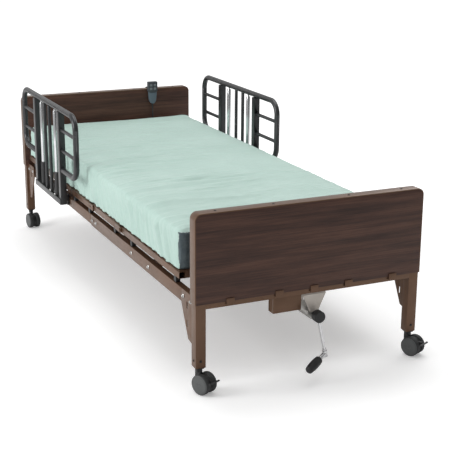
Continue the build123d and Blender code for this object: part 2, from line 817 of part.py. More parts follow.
def seat_deck():
    """The fixed seat section and the hinge plates on its sides."""
    start, stop = thigh_hinge + hinge_gap, back_hinge - hinge_gap
    shapes = deck_section(start, stop, 5, frame_half_width)
    x = (frame_half_width, frame_half_width + hinge_plate)
    plate, _ = pinned_plate(
        x, thigh_hinge - hinge_plate_reach, back_hinge + hinge_plate_reach, (thigh_hinge, back_hinge)
    )
    return shapes + both_sides([plate])


def hinge_pins():
    """The four pins of the seat section."""
    x = (frame_half_width, frame_half_width + hinge_plate)
    _, pins = pinned_plate(
        x, thigh_hinge - hinge_plate_reach, back_hinge + hinge_plate_reach, (thigh_hinge, back_hinge)
    )
    return both_sides(pins)


def backrest_frame():
    """The backrest section with its hinge tongues and push arm."""
    start = back_hinge + hinge_gap
    shapes = deck_section(start, deck_end, 9, moving_half_width)
    shapes += both_sides([hinge_tongue(back_hinge, 1)])
    return shapes + [push_arm(back_actuator_x, back_hinge, back_arm_start, start)]


def thigh_frame():
    """The thigh section: tongues at the hip, pinned plates at the knee, and its push arm."""
    start, stop = knee_hinge + hinge_gap, thigh_hinge - hinge_gap
    shapes = deck_section(start, stop, 6, moving_half_width)
    shapes += both_sides([hinge_tongue(thigh_hinge, -1)])
    x = (moving_half_width, moving_half_width + hinge_plate)
    plate, pins = pinned_plate(x, knee_hinge, knee_hinge + knee_plate_reach, (knee_hinge,))
    shapes += both_sides([plate] + pins)
    return shapes + [push_arm(thigh_actuator_x, thigh_hinge, thigh_arm_start, stop - deck_tube)]


def calf_frame():
    """The calf section, hinged at the knee and free at the foot."""
    half_width = moving_half_width - deck_clear
    shapes = deck_section(deck_start, knee_hinge - hinge_gap, 9, half_width)
    tongue = Pos(-deck_clear, 0, 0) * hinge_tongue(knee_hinge, -1)
    return shapes + both_sides([tongue])


def deck_supports():
    """Standoffs under the fixed seat, and rest pads under the moving sections."""
    x = around(frame_half_width - channel_width / 2, support_width)
    low = channel_top - channel_wall
    rest = deck_bottom - pad_gap

    def post(place, z):
        return block(x, around(along(place), support_depth), z)

    seat_places = (thigh_hinge + seat_support_gap, back_hinge - seat_support_gap)
    shapes = [post(d, (low, deck_bottom)) for d in seat_places]
    shapes += [post(d, (channel_top, rest)) for d in pad_places]
    shapes += [post(d, (low, rest)) for d in back_pad_places]
    return both_sides(shapes)


# ================================================================ mattress
def mattress_block(start, stop, gap_start=soft_gap, gap_stop=soft_gap):
    """A plain block of the mattress between two distances along the bed."""
    y = (along(start) + gap_start, along(stop) - gap_stop)
    return block(around(0, mattress_width), y, (mattress_bottom, mattress_top))


def mattress_pieces():
    """The one foam mattress, cut where the deck hinges; two of the blocks fold."""
    back_cut = (back_hinge - back_bend[0], back_hinge + back_bend[1])
    thigh_cut = (thigh_hinge - thigh_bend[0], thigh_hinge + thigh_bend[1])
    return {
        "mattress_calf": [mattress_block(deck_start, knee_hinge, gap_start=0)],
        "mattress_thigh": [mattress_block(knee_hinge, thigh_cut[0])],
        "mattress_seat": [mattress_block(thigh_cut[1], back_cut[0])],
        "mattress_back_bend": [mattress_block(*back_cut)],
        "mattress_thigh_bend": [mattress_block(*thigh_cut)],
        "mattress_head": [mattress_block(back_cut[1], deck_end, gap_stop=0)],
    }


# ================================================================ actuators
class Actuator:
    """One linear actuator: its line, its fixed tail and the pin it pushes with."""

    def __init__(self, x, hinge, total_angle, tail, towards):
        half = radians(total_angle / 2)
        mean = push_radius * (1 + cos(half)) / 2
        reach = mean * sin(half) / cos(half)
        self.x = x
        self.z = hinge_height - mean
        self.pin = along(hinge) - towards * reach
        self.stroke = 2 * reach
        self.tail = along(tail)
        self.towards = towards

    def y(self, distance):
        """Y of a place this far along the actuator from its tail pin."""
        return self.tail + self.towards * distance

    def span(self, near, far):
        """A (low, high) pair in Y, from two distances along the actuator."""
        return tuple(sorted((self.y(near), self.y(far))))

    def length(self):
        """From the tail pin to the pushing pin, drawn in."""
        return abs(self.pin - self.tail)

    def tube_end(self):
        """Where the outer tube stops, from the tail pin."""
        return self.length() - tube_stop


back_actuator = Actuator(back_actuator_x, back_hinge, back_angle, back_tail, 1)
thigh_actuator = Actuator(thigh_actuator_x, thigh_hinge, thigh_angle, thigh_tail, -1)


def actuator_body(a, outward):
    """Tail lug, gear head, motor and outer tube."""
    near, far = gear_head_span
    lug = block(around(a.x, tail_lug[0]), a.span(-12, near), around(a.z, tail_lug[1]))
    lug -= rod((a.x - 10, a.tail, a.z), (a.x + 10, a.tail, a.z), pin_bore)
    head = block(around(a.x, gear_head[0]), a.span(near, far), around(a.z, gear_head[1]))
    motor_x = a.x + outward * (gear_head[0] / 2 + motor_radius - 2)
    start, stop = a.y(near + 5), a.y(near + 5 + motor_length)
    motor = rod((motor_x, start, a.z), (motor_x, stop, a.z), motor_radius) - head
    tube = rod((a.x, a.y(far), a.z), (a.x, a.y(a.tube_end()), a.z), tube_radius)
    bore = rod((a.x, a.y(far - 5), a.z), (a.x, a.y(a.tube_end() + 1), a.z), rod_radius + running_gap)
    return [lug, head - bore, motor, tube - bore]


def actuator_rod(a):
    """The pushing rod, its fork and the cross pin in the slotted arm."""
    length = a.length()
    crown_end = length - rod_crown + 10
    shape = rod((a.x, a.y(gear_head_span[1] + 15), a.z), (a.x, a.y(crown_end - 4), a.z), rod_radius)
    half = push_plate / 2 + fork_gap
    crown_x = around(a.x, 2 * (half + fork_tine))
    shape += block(crown_x, a.span(length - rod_crown, crown_end), around(a.z, 22))
    for low in (half, -half - fork_tine):
        shape += block((a.x + low, a.x + low + fork_tine), a.span(crown_end, length + 8), around(a.z, 16))
    return shape + rod((a.x - half - fork_tine, a.pin, a.z), (a.x + half + fork_tine, a.pin, a.z), pin_radius)


def actuator_mounts():
    """Forked brackets under the cross tubes, with the actuators' tail pins."""
    shapes = []
    for a, tube_place in ((back_actuator, foot_cross_tubes[-1]), (thigh_actuator, head_cross_tubes[0])):
        tube_y = along(tube_place)
        y = tuple(sorted((tube_y - a.towards * cross_tube / 2, a.y(14))))
        for side in (-1, 1):
            x = around(a.x + side * (tail_lug[0] / 2 + mount_cheek / 2 + 1), mount_cheek)
            cheek = block(x, y, (a.z - 14, cross_tube_bottom))
            cheek -= rod((x[0] - 1, a.tail, a.z), (x[1] + 1, a.tail, a.z), pin_radius)
            shapes.append(cheek)
        half = tail_lug[0] / 2 + mount_cheek + 4
        shapes.append(rod((a.x - half, a.tail, a.z), (a.x + half, a.tail, a.z), pin_radius))
    return shapes


# ================================================================ side rails
def rail_path():
    """The bent tube of a rail, from one wide post round to the other, in (y, z)."""
    low, high = along(rail_middle - rail_half_length), along(rail_middle + rail_half_length)
    inner = post_spread + post_width / 2
    return [
        (along(rail_middle - inner), rail_bottom),
        (low, rail_bottom),
        (low, rail_top),
        (high, rail_top),
        (high, rail_bottom),
        (along(rail_middle + inner), rail_bottom),
    ]


def rail_frame():
    """Bent tube, wide posts, rungs, middle bars and bottom strap of a half-length rail."""
    points = [(rail_x, y, z) for y, z in rail_path()]
    path = FilletPolyline(*points, radius=rail_corner)
    shapes = []
    for run in path.edges():
        start = Plane(origin=run @ 0, z_dir=run % 0)
        section = Circle(rail_tube_radius) - Circle(rail_tube_radius - rail_wall)
        shapes.append(sweep(start * section, path=run))
    x = around(rail_x, post_depth)
    under = rail_top - rail_tube_radius
    for side in (-1, 1):
        y = along(rail_middle + side * post_spread)
        shapes.append(square_tube(x, around(y, post_width), (post_foot, under - 1), rail_wall, "z"))
        shapes.append(block(x, around(y, post_width), (under - 1, under)))
        edge = y + side * post_width / 2
        upright = along(rail_middle + side * (rail_half_length - rail_tube_radius + 1))
        for z in rung_heights:
            shapes.append(rod((rail_x, edge, z), (rail_x, upright, z), rung_radius))
        bar_x = rail_x + post_depth / 2 - bar_radius
        bar_y = along(rail_middle + side * bar_spread)
        shapes.append(rod((bar_x, bar_y, post_foot + 4), (bar_x, bar_y, under + 2), bar_radius))
    strap_x = (x[1], x[1] + strap_thickness)
    reach = post_spread + post_width / 2
    strap_y = (along(rail_middle - reach), along(rail_middle + reach))
    shapes.append(block(strap_x, strap_y, (post_foot + 1, post_foot + 1 + strap_height)))
    return shapes


def rail_sliders():
    """The bright posts bolted under the top tube of a rail."""
    under = rail_top - rail_tube_radius - 0.5
    posts = []
    for side in (-1, 1):
        y = along(rail_middle + side * slider_spread)
        post = rod((rail_x, y, slider_foot), (rail_x, y, under - 8), slider_radius)
        posts.append(post + rod((rail_x, y, under - 8), (rail_x, y, under), 5))
    return posts


def rail_base():
    """Sleeves, base bar and the brackets that bolt a rail to the side frame."""
    bar_z = (base_bar_foot, base_bar_foot + base_bar_height)
    reach = slider_spread + base_bar_reach
    bar = block(base_bar, (along(rail_middle - reach), along(rail_middle + reach)), bar_z)
    shapes = []
    for side in (-1, 1):
        y = along(rail_middle + side * slider_spread)
        sleeve = rod((rail_x, y, sleeve_foot), (rail_x, y, sleeve_top), sleeve_radius)
        sleeve += block((base_bar[1], rail_x), around(y, 16), bar_z)
        sleeve -= rod((rail_x, y, sleeve_foot - 1), (rail_x, y, sleeve_top + 1), slider_radius + sleeve_gap)
        shapes.append(sleeve)
        pad_x = (frame_half_width - channel_wall, base_bar[0])
        shapes.append(block(pad_x, around(y, base_pad[0]), (base_pad[1], bar_z[1])))
        ring_y = along(rail_middle + side * ring_spread)
        bore = (base_bar_x, ring_y, bar_z[0] - 1), (base_bar_x, ring_y, bar_z[0] + 18)
        bar -= rod(*bore, release_radius + running_gap)
    return shapes + [bar]


def rail_release(side):
    """A sprung pull pin with a wire ring, under the base bar."""
    y = along(rail_middle + side * ring_spread)
    foot = ring_height + ring_radius - 1
    pin = rod((base_bar_x, y, foot), (base_bar_x, y, base_bar_foot + 17), release_radius)
    ring = Plane(origin=(base_bar_x, y, ring_height), z_dir=(1, 0, 0)) * Torus(ring_radius, ring_wire)
    return [pin + ring]


def on_side(shapes, side):
    """The shapes themselves on the +X side, or their mirror images."""
    return shapes if side > 0 else [mirror(s, Plane.YZ) for s in shapes]


# ================================================================ hand control
pendant_back = head_face - panel_depth - pendant_gap
pendant_y = (pendant_back - pendant_depth, pendant_back)
pendant_middle = sum(pendant_y) / 2


def pendant_body():
    """A two-part hand control with a narrower grip and its strain relief."""
    front = Plane(origin=(pendant_x, pendant_y[1], 0), x_dir=(1, 0, 0), z_dir=(0, -1, 0))
    half = pendant_width / 2
    grip_top = pendant_top - 52
    outline = Polyline(
        (-half, pendant_top), (half, pendant_top), (half, grip_top), (half - 6, pendant_foot + 12),
        (half - 16, pendant_foot), (16 - half, pendant_foot), (6 - half, pendant_foot + 12),
        (-half, grip_top),
        close=True,
    )
    case = extrude(front * make_face(outline), pendant_depth)
    for x, z in key_places():
        width, height = key_size
        pocket = (pendant_y[0] - 1, pendant_y[0] + 6)
        case -= block(around(x, width + 2 * key_gap), pocket, around(z, height + 2 * key_gap))
    foot = pendant_foot - relief_length
    middle = (pendant_x, pendant_middle)
    relief = rod((*middle, foot), (*middle, pendant_foot), relief_radius)
    relief -= rod((*middle, foot - 1), (*middle, foot + cord_seat), cord_radius)
    return [case, relief]


def key_places():
    """Centres of the four keys."""
    return [(pendant_x + dx, pendant_top - dz) for dz in key_rows for dx in key_columns]


def pendant_key(place):
    """One key, standing a little proud of the case."""
    x, z = place
    width, height = key_size
    return block(around(x, width), (pendant_y[0] - key_proud, pendant_y[0] + 4), around(z, height))


def pendant_hook():
    """The clip that hangs the hand control over the top of the head end."""
    under = head_end_height + 1
    top = under + hook_sheet
    x = around(pendant_x, hook_width)
    outer = (head_face + 1, head_face + 1 + hook_sheet)
    stem = block(x, (pendant_back, pendant_back + pendant_gap), (head_end_height - 40, top))
    bridge = block(x, (pendant_back, outer[1]), (under, top))
    lip = block(x, outer, (head_end_height - 20, under))
    return stem + bridge + lip


# ================================================================ control box and cord
box_gap = 29.0               # case to the outer face of the channel
box_width = 86.0
box_x = (frame_half_width - box_gap - box_width, frame_half_width - box_gap)
box_y = (along(1290), along(1430))
box_z = (channel_bottom + channel_wall, channel_bottom + 48)
box_round = 6.0
gland_place = (box_x[1] - 16.0, 320.0)
gland_length = 22.0
strap_spread = 45.0
strap_size = (14.0, 3.0)


def control_box():
    """The control box beside the channel, its cord gland and its mains inlet."""
    case = block(box_x, box_y, box_z)
    case = fillet(case.edges().filter_by(Axis.Z), box_round)
    x, z = gland_place
    mouth = box_y[1] + gland_length
    gland = rod((x, box_y[1], z), (x, mouth, z), relief_radius + 1)
    gland -= rod((x, box_y[1] + cord_seat, z), (x, mouth + 1, z), cord_radius)
    inlet = block(around(box_x[0] + 25, 28), (box_y[0] - 10, box_y[0]), around(sum(box_z) / 2, 22))
    shapes = [case, gland, inlet]
    strap_x = (box_x[1], frame_half_width - 2 * channel_wall)
    foot = box_z[0] + channel_wall
    for side in (-1, 1):
        y = around(sum(box_y) / 2 + side * strap_spread, strap_size[0])
        shapes.append(block(strap_x, y, (foot, foot + strap_size[1])))
    return shapes


cord_points = [
    (pendant_x, pendant_middle, pendant_foot - relief_length + cord_seat),
    (pendant_x + 1, pendant_middle + 0.5, 552),
    (pendant_x + 4, pendant_middle + 2, 488),
    (pendant_x + 10, pendant_middle + 3, 428),
    (pendant_x + 22, pendant_middle + 2, 372),
    (pendant_x + 45, pendant_middle - 4, 326),
    (pendant_x + 85, pendant_middle - 14, 303),
    (pendant_x + 132, pendant_middle - 30, 302),
    (pendant_x + 168, pendant_middle - 68, 301),
    (pendant_x + 180, pendant_middle - 132, 300),
    (pendant_x + 183, pendant_middle - 215, 299.6),
    (pendant_x + 179, pendant_middle - 300, 299.8),
    (pendant_x + 183, pendant_middle - 385, 299.6),
    (pendant_x + 178, pendant_middle - 470, 299.8),
    (pendant_x + 183, pendant_middle - 555, 299.6),
    (pendant_x + 181, pendant_middle - 635, 300.2),
    (pendant_x + 171, pendant_middle - 692, 306),
    (gland_place[0] + 6, box_y[1] + 72, gland_place[1] - 5),
    (gland_place[0], box_y[1] + cord_seat, gland_place[1]),
]


def cord_radii():
    """The arc at each corner of the cord: 0.45 of its shorter run over the tangent of half its turn."""
    points = [Vector(*p) for p in cord_points]
    radii = []
    for before, corner, after in zip(points, points[1:], points[2:]):
        first, second = corner - before, after - corner
        half_turn = radians(first.get_angle(second)) / 2
        radii.append(0.45 * min(first.length, second.length) / tan(half_turn))
    return radii


def pendant_cord():
    """The cord of the hand control: straight runs joined by tangent arcs."""
    radii = cord_radii()
    path = FilletPolyline(*cord_points, radius=radii)
    start = Plane(origin=path @ 0, z_dir=path % 0)
    tube = sweep(start * Circle(cord_radius), path=path)
    share = tube.volume / (pi * cord_radius ** 2 * path.length)
    print("cord radii", [round(r) for r in radii])
    print("cord length", round(path.length, 1), "volume over section times length", share)
    return tube


def all_parts():
    """Every named piece and its solids."""
    ends = (foot_end, head_end)
    drive_brackets = [s for end in ends for s in gearbox_bracket(end)] + shaft_hanger() + actuator_mounts()
    parts = {
        "foot_end_frame": end_frame(foot_end) + stop_box_plates(),
        "head_end_frame": end_frame(head_end),
        "edge_bands": [edge_band(foot_end), edge_band(head_end)],
        "end_panels": panel_skins(foot_end) + panel_skins(head_end),
        "panel_fixings": [s for end in ends for s in panel_clips(end) + panel_screws(end)],
        "corner_brackets": corner_brackets(),
        "foot_side_frame": foot_side_frame(),
        "head_side_frame": head_side_frame(),
        "frame_bolts": frame_bolts() + hinge_pins(),
        "seat_deck": seat_deck(),
        "rail_bases": [shape for side in (-1, 1) for shape in on_side(rail_base(), side)],
        "deck_supports": deck_supports(),
        "lift_gearboxes": [gearbox(foot_end), gearbox(head_end)],
        "drive_brackets": drive_brackets,
        "actuator_bodies": actuator_body(back_actuator, 1) + actuator_body(thigh_actuator, -1),
        "control_box": control_box(),
        "pendant_body": pendant_body() + [pendant_hook()],
        "pendant_cord": [pendant_cord()],
        "foot_inner_legs": inner_legs(foot_end),
        "head_inner_legs": inner_legs(head_end),
        "foot_lift_screw": [lift_screw(foot_end)],
        "head_lift_screw": [lift_screw(head_end)],
        "drive_shaft": [drive_shaft()],
        "crank_hub": [crank_hub()],
        "crank_arm": [crank_arm()],
        "crank_elbow": [crank_elbow()],
        "crank_grip": [crank_grip()],
        "backrest_frame": backrest_frame(),
        "thigh_frame": thigh_frame(),
        "calf_frame": calf_frame(),
        "back_actuator_rod": [actuator_rod(back_actuator)],
        "thigh_actuator_rod": [actuator_rod(thigh_actuator)],
    }
    parts.update(mattress_pieces())
    for name, side in (("left", -1), ("right", 1)):
        parts[name + "_rail_frame"] = on_side(rail_frame(), side)
        parts[name + "_rail_posts"] = on_side(rail_sliders(), side)
        parts[name + "_foot_release"] = on_side(rail_release(-1), side)
        parts[name + "_head_release"] = on_side(rail_release(1), side)
    for name, caster in casters.items():
        parts[name + "_caster"] = [caster_body(caster)]
        parts[name + "_wheels"] = caster_wheels(caster)
    for name in ("foot_left", "foot_right"):
        parts[name + "_brake"] = [brake_pedal(casters[name])]
    for name, place in zip(("head_up", "head_down", "knee_up", "knee_down"), key_places()):
        parts[name + "_key"] = [pendant_key(place)]
    return parts


def main():
    """Write one STEP file for each named piece."""
    os.makedirs("parts", exist_ok=True)
    for name, shapes in all_parts().items():
        solids = [solid for shape in shapes for solid in shape.solids()]
        export_step(Compound(children=solids), "parts/" + name + ".step")


if __name__ == "__main__":
    main()
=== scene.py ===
import json
from math import cos, pi, radians, sin

import bmesh
import bpy
from mathutils import Matrix, Vector, noise


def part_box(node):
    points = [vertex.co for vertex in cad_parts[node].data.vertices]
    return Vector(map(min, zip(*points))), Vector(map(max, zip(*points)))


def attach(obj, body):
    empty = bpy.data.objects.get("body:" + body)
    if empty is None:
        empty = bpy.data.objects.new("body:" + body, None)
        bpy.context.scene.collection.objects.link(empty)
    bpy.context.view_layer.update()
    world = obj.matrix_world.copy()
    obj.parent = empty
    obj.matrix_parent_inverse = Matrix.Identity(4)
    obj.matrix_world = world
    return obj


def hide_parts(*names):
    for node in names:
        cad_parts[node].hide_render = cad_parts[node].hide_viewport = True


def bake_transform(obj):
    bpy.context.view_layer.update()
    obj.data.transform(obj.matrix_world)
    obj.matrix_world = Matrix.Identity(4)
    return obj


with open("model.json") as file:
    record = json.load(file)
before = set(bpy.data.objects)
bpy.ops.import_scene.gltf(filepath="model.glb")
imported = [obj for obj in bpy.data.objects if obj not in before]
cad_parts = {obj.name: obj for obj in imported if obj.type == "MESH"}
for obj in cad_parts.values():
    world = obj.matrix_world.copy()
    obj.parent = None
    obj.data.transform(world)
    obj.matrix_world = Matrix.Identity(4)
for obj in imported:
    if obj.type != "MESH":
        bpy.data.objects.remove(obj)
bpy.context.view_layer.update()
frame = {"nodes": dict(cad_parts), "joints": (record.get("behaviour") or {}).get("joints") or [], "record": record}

# ---------------------------------------------------------------- the view
# A long lens, a little above the foot end's left corner. The bed stands on a pale studio floor
# under three large soft lamps and an even white surround.
foot_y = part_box("end_panels")[0].y

yaw, pitch, roll = radians(24.51), radians(16.47), radians(0.33)
ahead = Vector((sin(yaw) * cos(pitch), cos(yaw) * cos(pitch), -sin(pitch)))
level = Vector((cos(yaw), -sin(yaw), 0))
rise = level.cross(ahead)
across = level * cos(roll) + rise * sin(roll)
upward = rise * cos(roll) - level * sin(roll)

lens = bpy.data.cameras.new("view")
lens.sensor_width = 36
lens.lens = 90
lens.clip_end = 200
camera = bpy.data.objects.new("view", lens)
stand = Vector((-1.867, foot_y - 3.336, 1.692))
camera.matrix_world = Matrix(
    (
        (across.x, upward.x, -ahead.x, stand.x),
        (across.y, upward.y, -ahead.y, stand.y),
        (across.z, upward.z, -ahead.z, stand.z),
        (0, 0, 0, 1),
    )
)
bpy.context.scene.collection.objects.link(camera)
bpy.context.scene.camera = camera
bpy.context.scene.view_settings.view_transform = "Standard"


def new_finish(name):
    """A node material with its shader and object coordinates ready."""
    made = bpy.data.materials.new(name)
    made.use_nodes = True
    shader = made.node_tree.nodes["Principled BSDF"]
    place = made.node_tree.nodes.new("ShaderNodeTexCoord").outputs["Object"]
    return made, made.node_tree.nodes, made.node_tree.links, shader, place


def spread(tree_nodes, links, place, stretch, scale, detail=4.0, roughness=0.55):
    """A noise over the object, stretched along the axes; gives its value."""
    mapping = tree_nodes.new("ShaderNodeMapping")
    mapping.inputs["Scale"].default_value = stretch
    links.new(place, mapping.inputs["Vector"])
    grain = tree_nodes.new("ShaderNodeTexNoise")
    grain.inputs["Scale"].default_value = scale
    grain.inputs["Detail"].default_value = detail
    grain.inputs["Roughness"].default_value = roughness
    links.new(mapping.outputs["Vector"], grain.inputs["Vector"])
    return grain.outputs["Fac"]


def ramp(tree_nodes, links, value, stops):
    """Colours along a value."""
    node = tree_nodes.new("ShaderNodeValToRGB")
    while len(node.color_ramp.elements) < len(stops):
        node.color_ramp.elements.new(0.5)
    for element, (at, colour) in zip(node.color_ramp.elements, stops):
        element.position = at
        element.color = (*colour, 1)
    links.new(value, node.inputs["Fac"])
    return node.outputs["Color"]


def between(tree_nodes, links, value, low, high, value_low=0.3, value_high=0.7):
    """A value moved from one span into another."""
    node = tree_nodes.new("ShaderNodeMapRange")
    node.inputs["From Min"].default_value = value_low
    node.inputs["From Max"].default_value = value_high
    node.inputs["To Min"].default_value = low
    node.inputs["To Max"].default_value = high
    links.new(value, node.inputs["Value"])
    return node.outputs["Result"]


def relief(tree_nodes, links, shader, value, depth, before=None):
    """A bump of this depth, in metres, on top of another one."""
    node = tree_nodes.new("ShaderNodeBump")
    node.inputs["Distance"].default_value = depth
    node.inputs["Strength"].default_value = 1.0
    links.new(value, node.inputs["Height"])
    if before:
        links.new(before, node.inputs["Normal"])
    links.new(node.outputs["Normal"], shader.inputs["Normal"])
    return node.outputs["Normal"]


def calculated(nodes, links, operation, *values, kind="ShaderNodeMath"):
    """One step of arithmetic on sockets and plain numbers, in order; gives its value."""
    node = nodes.new(kind)
    node.operation = operation
    for socket, value in zip(node.inputs, values):
        if isinstance(value, bpy.types.NodeSocket):
            links.new(value, socket)
        else:
            socket.default_value = value
    return node.outputs["Value"]


def coating(
    name, dark, light, rough, metallic=0.0, blotch=7.0, grain=900.0, depth=0.00006, coat=0.0
):
    """A sprayed, moulded or plated finish: slow colour drift, fine tooth and uneven gloss."""
    made, nodes, links, shader, place = new_finish(name)
    drift = spread(nodes, links, place, (1, 1, 1), blotch)
    links.new(ramp(nodes, links, drift, [(0.32, dark), (0.68, light)]), shader.inputs["Base Color"])
    tooth = spread(nodes, links, place, (1, 1, 1), grain, 2.0)
    smear = spread(nodes, links, place, (1, 1, 1), blotch * 6, 5.0, 0.65)
    links.new(between(nodes, links, smear, rough[0], rough[1]), shader.inputs["Roughness"])
    relief(nodes, links, shader, tooth, depth)
    shader.inputs["Metallic"].default_value = metallic
    shader.inputs["Coat Weight"].default_value = coat
    shader.inputs["Coat Roughness"].default_value = 0.2
    return made


bpy.ops.mesh.primitive_plane_add(size=160, location=(0, 0, 0))
floor = bpy.context.object
floor.name = "studio_floor"
floor_paper = coating(
    "floor_paper", (0.92, 0.92, 0.92), (0.95, 0.95, 0.95), (0.75, 0.85), blotch=0.3
)
floor.data.materials.append(floor_paper)

# The paper floor and the surround are overexposed, so both look whiter than the light they give.
# The floor's own glow grows with the distance from the bed, in metres.
near_glow, far_glow = 0.24, 0.62
near_bed, far_off = 1.0, 5.0
nodes, links = floor_paper.node_tree.nodes, floor_paper.node_tree.links
paper = nodes["Principled BSDF"]
spot = nodes["Texture Coordinate"].outputs["Object"]
away = calculated(nodes, links, "LENGTH", spot, kind="ShaderNodeVectorMath")
glow = between(nodes, links, away, near_glow, far_glow, near_bed, far_off)
looked_at = nodes.new("ShaderNodeLightPath").outputs["Is Camera Ray"]
paper.inputs["Emission Color"].default_value = (1, 1, 1, 1)
links.new(
    calculated(nodes, links, "MULTIPLY", looked_at, glow), paper.inputs["Emission Strength"]
)

# The surround lights the back and the left of the bed more than its front.
surround_lean = (-0.16, 0.22, 0.08)
surround_light, surround_seen = 0.47, 1.05
surround = bpy.data.worlds.new("studio")
surround.use_nodes = True
nodes, links = surround.node_tree.nodes, surround.node_tree.links
nodes["Background"].inputs["Color"].default_value = (1, 1, 1, 1)
way = nodes.new("ShaderNodeTexCoord").outputs["Generated"]
lean = calculated(nodes, links, "DOT_PRODUCT", way, surround_lean, kind="ShaderNodeVectorMath")
fill = calculated(nodes, links, "ADD", lean, surround_light)
seen = nodes.new("ShaderNodeMapRange")
links.new(fill, seen.inputs["To Min"])
seen.inputs["To Max"].default_value = surround_seen
links.new(nodes.new("ShaderNodeLightPath").outputs["Is Camera Ray"], seen.inputs["Value"])
links.new(seen.outputs["Result"], nodes["Background"].inputs["Strength"])
bpy.context.scene.world = surround

lit_spot = Vector((0, 0, 0.4))
for name, place, size, power in (
    ("key_lamp", (-4.4, 0.1, 2.1), 2.2, 112),
    ("top_lamp", (0.6, 0.4, 4.2), 3.2, 84),
    ("rim_lamp", (3.6, 1.8, 2.6), 2.4, 26),
):
    lamp = bpy.data.lights.new(name, "AREA")
    lamp.size = size
    lamp.energy = power
    holder = bpy.data.objects.new(name, lamp)
    holder.location = place
    holder.rotation_euler = (lit_spot - Vector(place)).to_track_quat("-Z", "Y").to_euler()
    bpy.context.scene.collection.objects.link(holder)

# ---------------------------------------------------------------- boards of the bed ends
# Dark walnut-grain laminate boards, pressed on both faces of each bed end. The grain runs across
# the bed and the surface has a satin seal.
walnut, nodes, links, shader, place = new_finish("walnut_laminate")
figure = spread(nodes, links, place, (0.8, 1.0, 11.0), 3.0, 8.0, 0.66)
streaks = spread(nodes, links, place, (1.3, 2.0, 170.0), 2.4, 6.0, 0.66)
streak_share, figure_share = 0.45, 0.6
broad = calculated(nodes, links, "MULTIPLY", figure, figure_share)
wood = calculated(nodes, links, "MULTIPLY_ADD", streaks, streak_share, broad)
brown = [
    (0.40, (0.034, 0.0145, 0.0100)),
    (0.49, (0.062, 0.0270, 0.0185)),
    (0.56, (0.086, 0.0385, 0.0255)),
    (0.64, (0.118, 0.0550, 0.0370)),
]
links.new(ramp(nodes, links, wood, brown), shader.inputs["Base Color"])
links.new(between(nodes, links, streaks, 0.42, 0.56), shader.inputs["Roughness"])
relief(nodes, links, shader, streaks, 0.00012)
shader.inputs["Specular IOR Level"].default_value = 0.35

record = frame["record"]
node_body = {
    node: body for body, members in record["behaviour"]["bodies"].items() for node in members
}


def clean_copy(node):
    """The merged shape of a CAD piece, with its flat faces whole again."""
    shape = bmesh.new()
    shape.from_mesh(frame["nodes"][node].data)
    bmesh.ops.remove_doubles(shape, verts=shape.verts, dist=0.000002)
    bmesh.ops.dissolve_limit(shape, angle_limit=radians(0.5), verts=shape.verts, edges=shape.edges)
    return shape


def rounded(shape, edges, width, steps, profile=0.6):
    """Round these edges off, no wider than their faces allow."""
    bmesh.ops.bevel(
        shape, geom=edges, offset=width, segments=steps, profile=profile, affect="EDGES",
        clamp_overlap=True,
    )


def as_piece(name, shape, material, smooth_under=35.0):
    """A finished mesh as an object at the origin, smooth except over its sharp edges."""
    mesh = bpy.data.meshes.new(name)
    shape.to_mesh(mesh)
    shape.free()
    mesh.materials.clear()
    mesh.materials.append(material)
    for face in mesh.polygons:
        face.use_smooth = True
        face.material_index = 0
    mesh.set_sharp_from_angle(angle=radians(smooth_under))
    piece = bpy.data.objects.new(name, mesh)
    bpy.context.scene.collection.objects.link(piece)
    return piece


def eased(node, material, width=0.0012, steps=2):
    """A CAD piece again with its hard edges broken, as folded, cast or sawn metal has them."""
    shape = clean_copy(node)
    hard = [e for e in shape.edges if len(e.link_faces) == 2 and e.calc_face_angle(0) > radians(40)]
    rounded(shape, hard, width, steps)
    piece = as_piece(node + "_made", shape, material)
    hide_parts(node)
    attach(piece, node_body[node])
    return piece


eased("end_panels", walnut, 0.0006)

# ---------------------------------------------------------------- frames of the bed ends
# Square steel tube, welded and powder coated in a metallic tan. The outer legs carry the crossbar
# and the board; the inner legs telescope out of them and are a shade darker.
tan = coating(
    "tan_powder_coat", (0.118, 0.061, 0.033), (0.146, 0.077, 0.043), (0.32, 0.42), 0.55, coat=0.15
)
tan_dark = coating(
    "inner_leg_coat", (0.086, 0.047, 0.029), (0.106, 0.060, 0.038), (0.32, 0.42), 0.55, coat=0.15
)
for node in ("foot_end_frame", "head_end_frame", "edge_bands"):
    eased(node, tan)
for node in ("foot_inner_legs", "head_inner_legs"):
    eased(node, tan_dark, 0.0008)

# Black moulded collars close the lower ends of the legs round the caster stems.
black = coating(
    "black_moulding", (0.012, 0.012, 0.013), (0.022, 0.022, 0.023), (0.42, 0.55), depth=0.0001
)


def soft_boxes(name, spans, material, width, steps=3):
    """Moulded or pressed blocks with rounded edges, one for each (low, high) pair of corners."""
    shape = bmesh.new()
    for low, high in spans:
        middle = (Vector(low) + Vector(high)) / 2
        size = Vector(high) - Vector(low)
        where = Matrix.Translation(middle) @ Matrix.Diagonal((*size, 1))
        bmesh.ops.create_cube(shape, size=1, matrix=where)
    rounded(shape, shape.edges[:], width, steps)
    return as_piece(name, shape, material)


wall = 0.0012
collar_below, collar_above = 0.0035, 0.004
for end in ("foot", "head"):
    low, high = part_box(end + "_inner_legs")
    side = high.y - low.y
    spans = []
    for left in (low.x, high.x - side):
        spans.append(
            (
                (left + wall, low.y + wall, low.z - collar_below),
                (left + side - wall, high.y - wall, low.z + collar_above),
            )
        )
    collars = soft_boxes(end + "_leg_collars", spans, black, 0.002)
    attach(collars, end + "_legs")

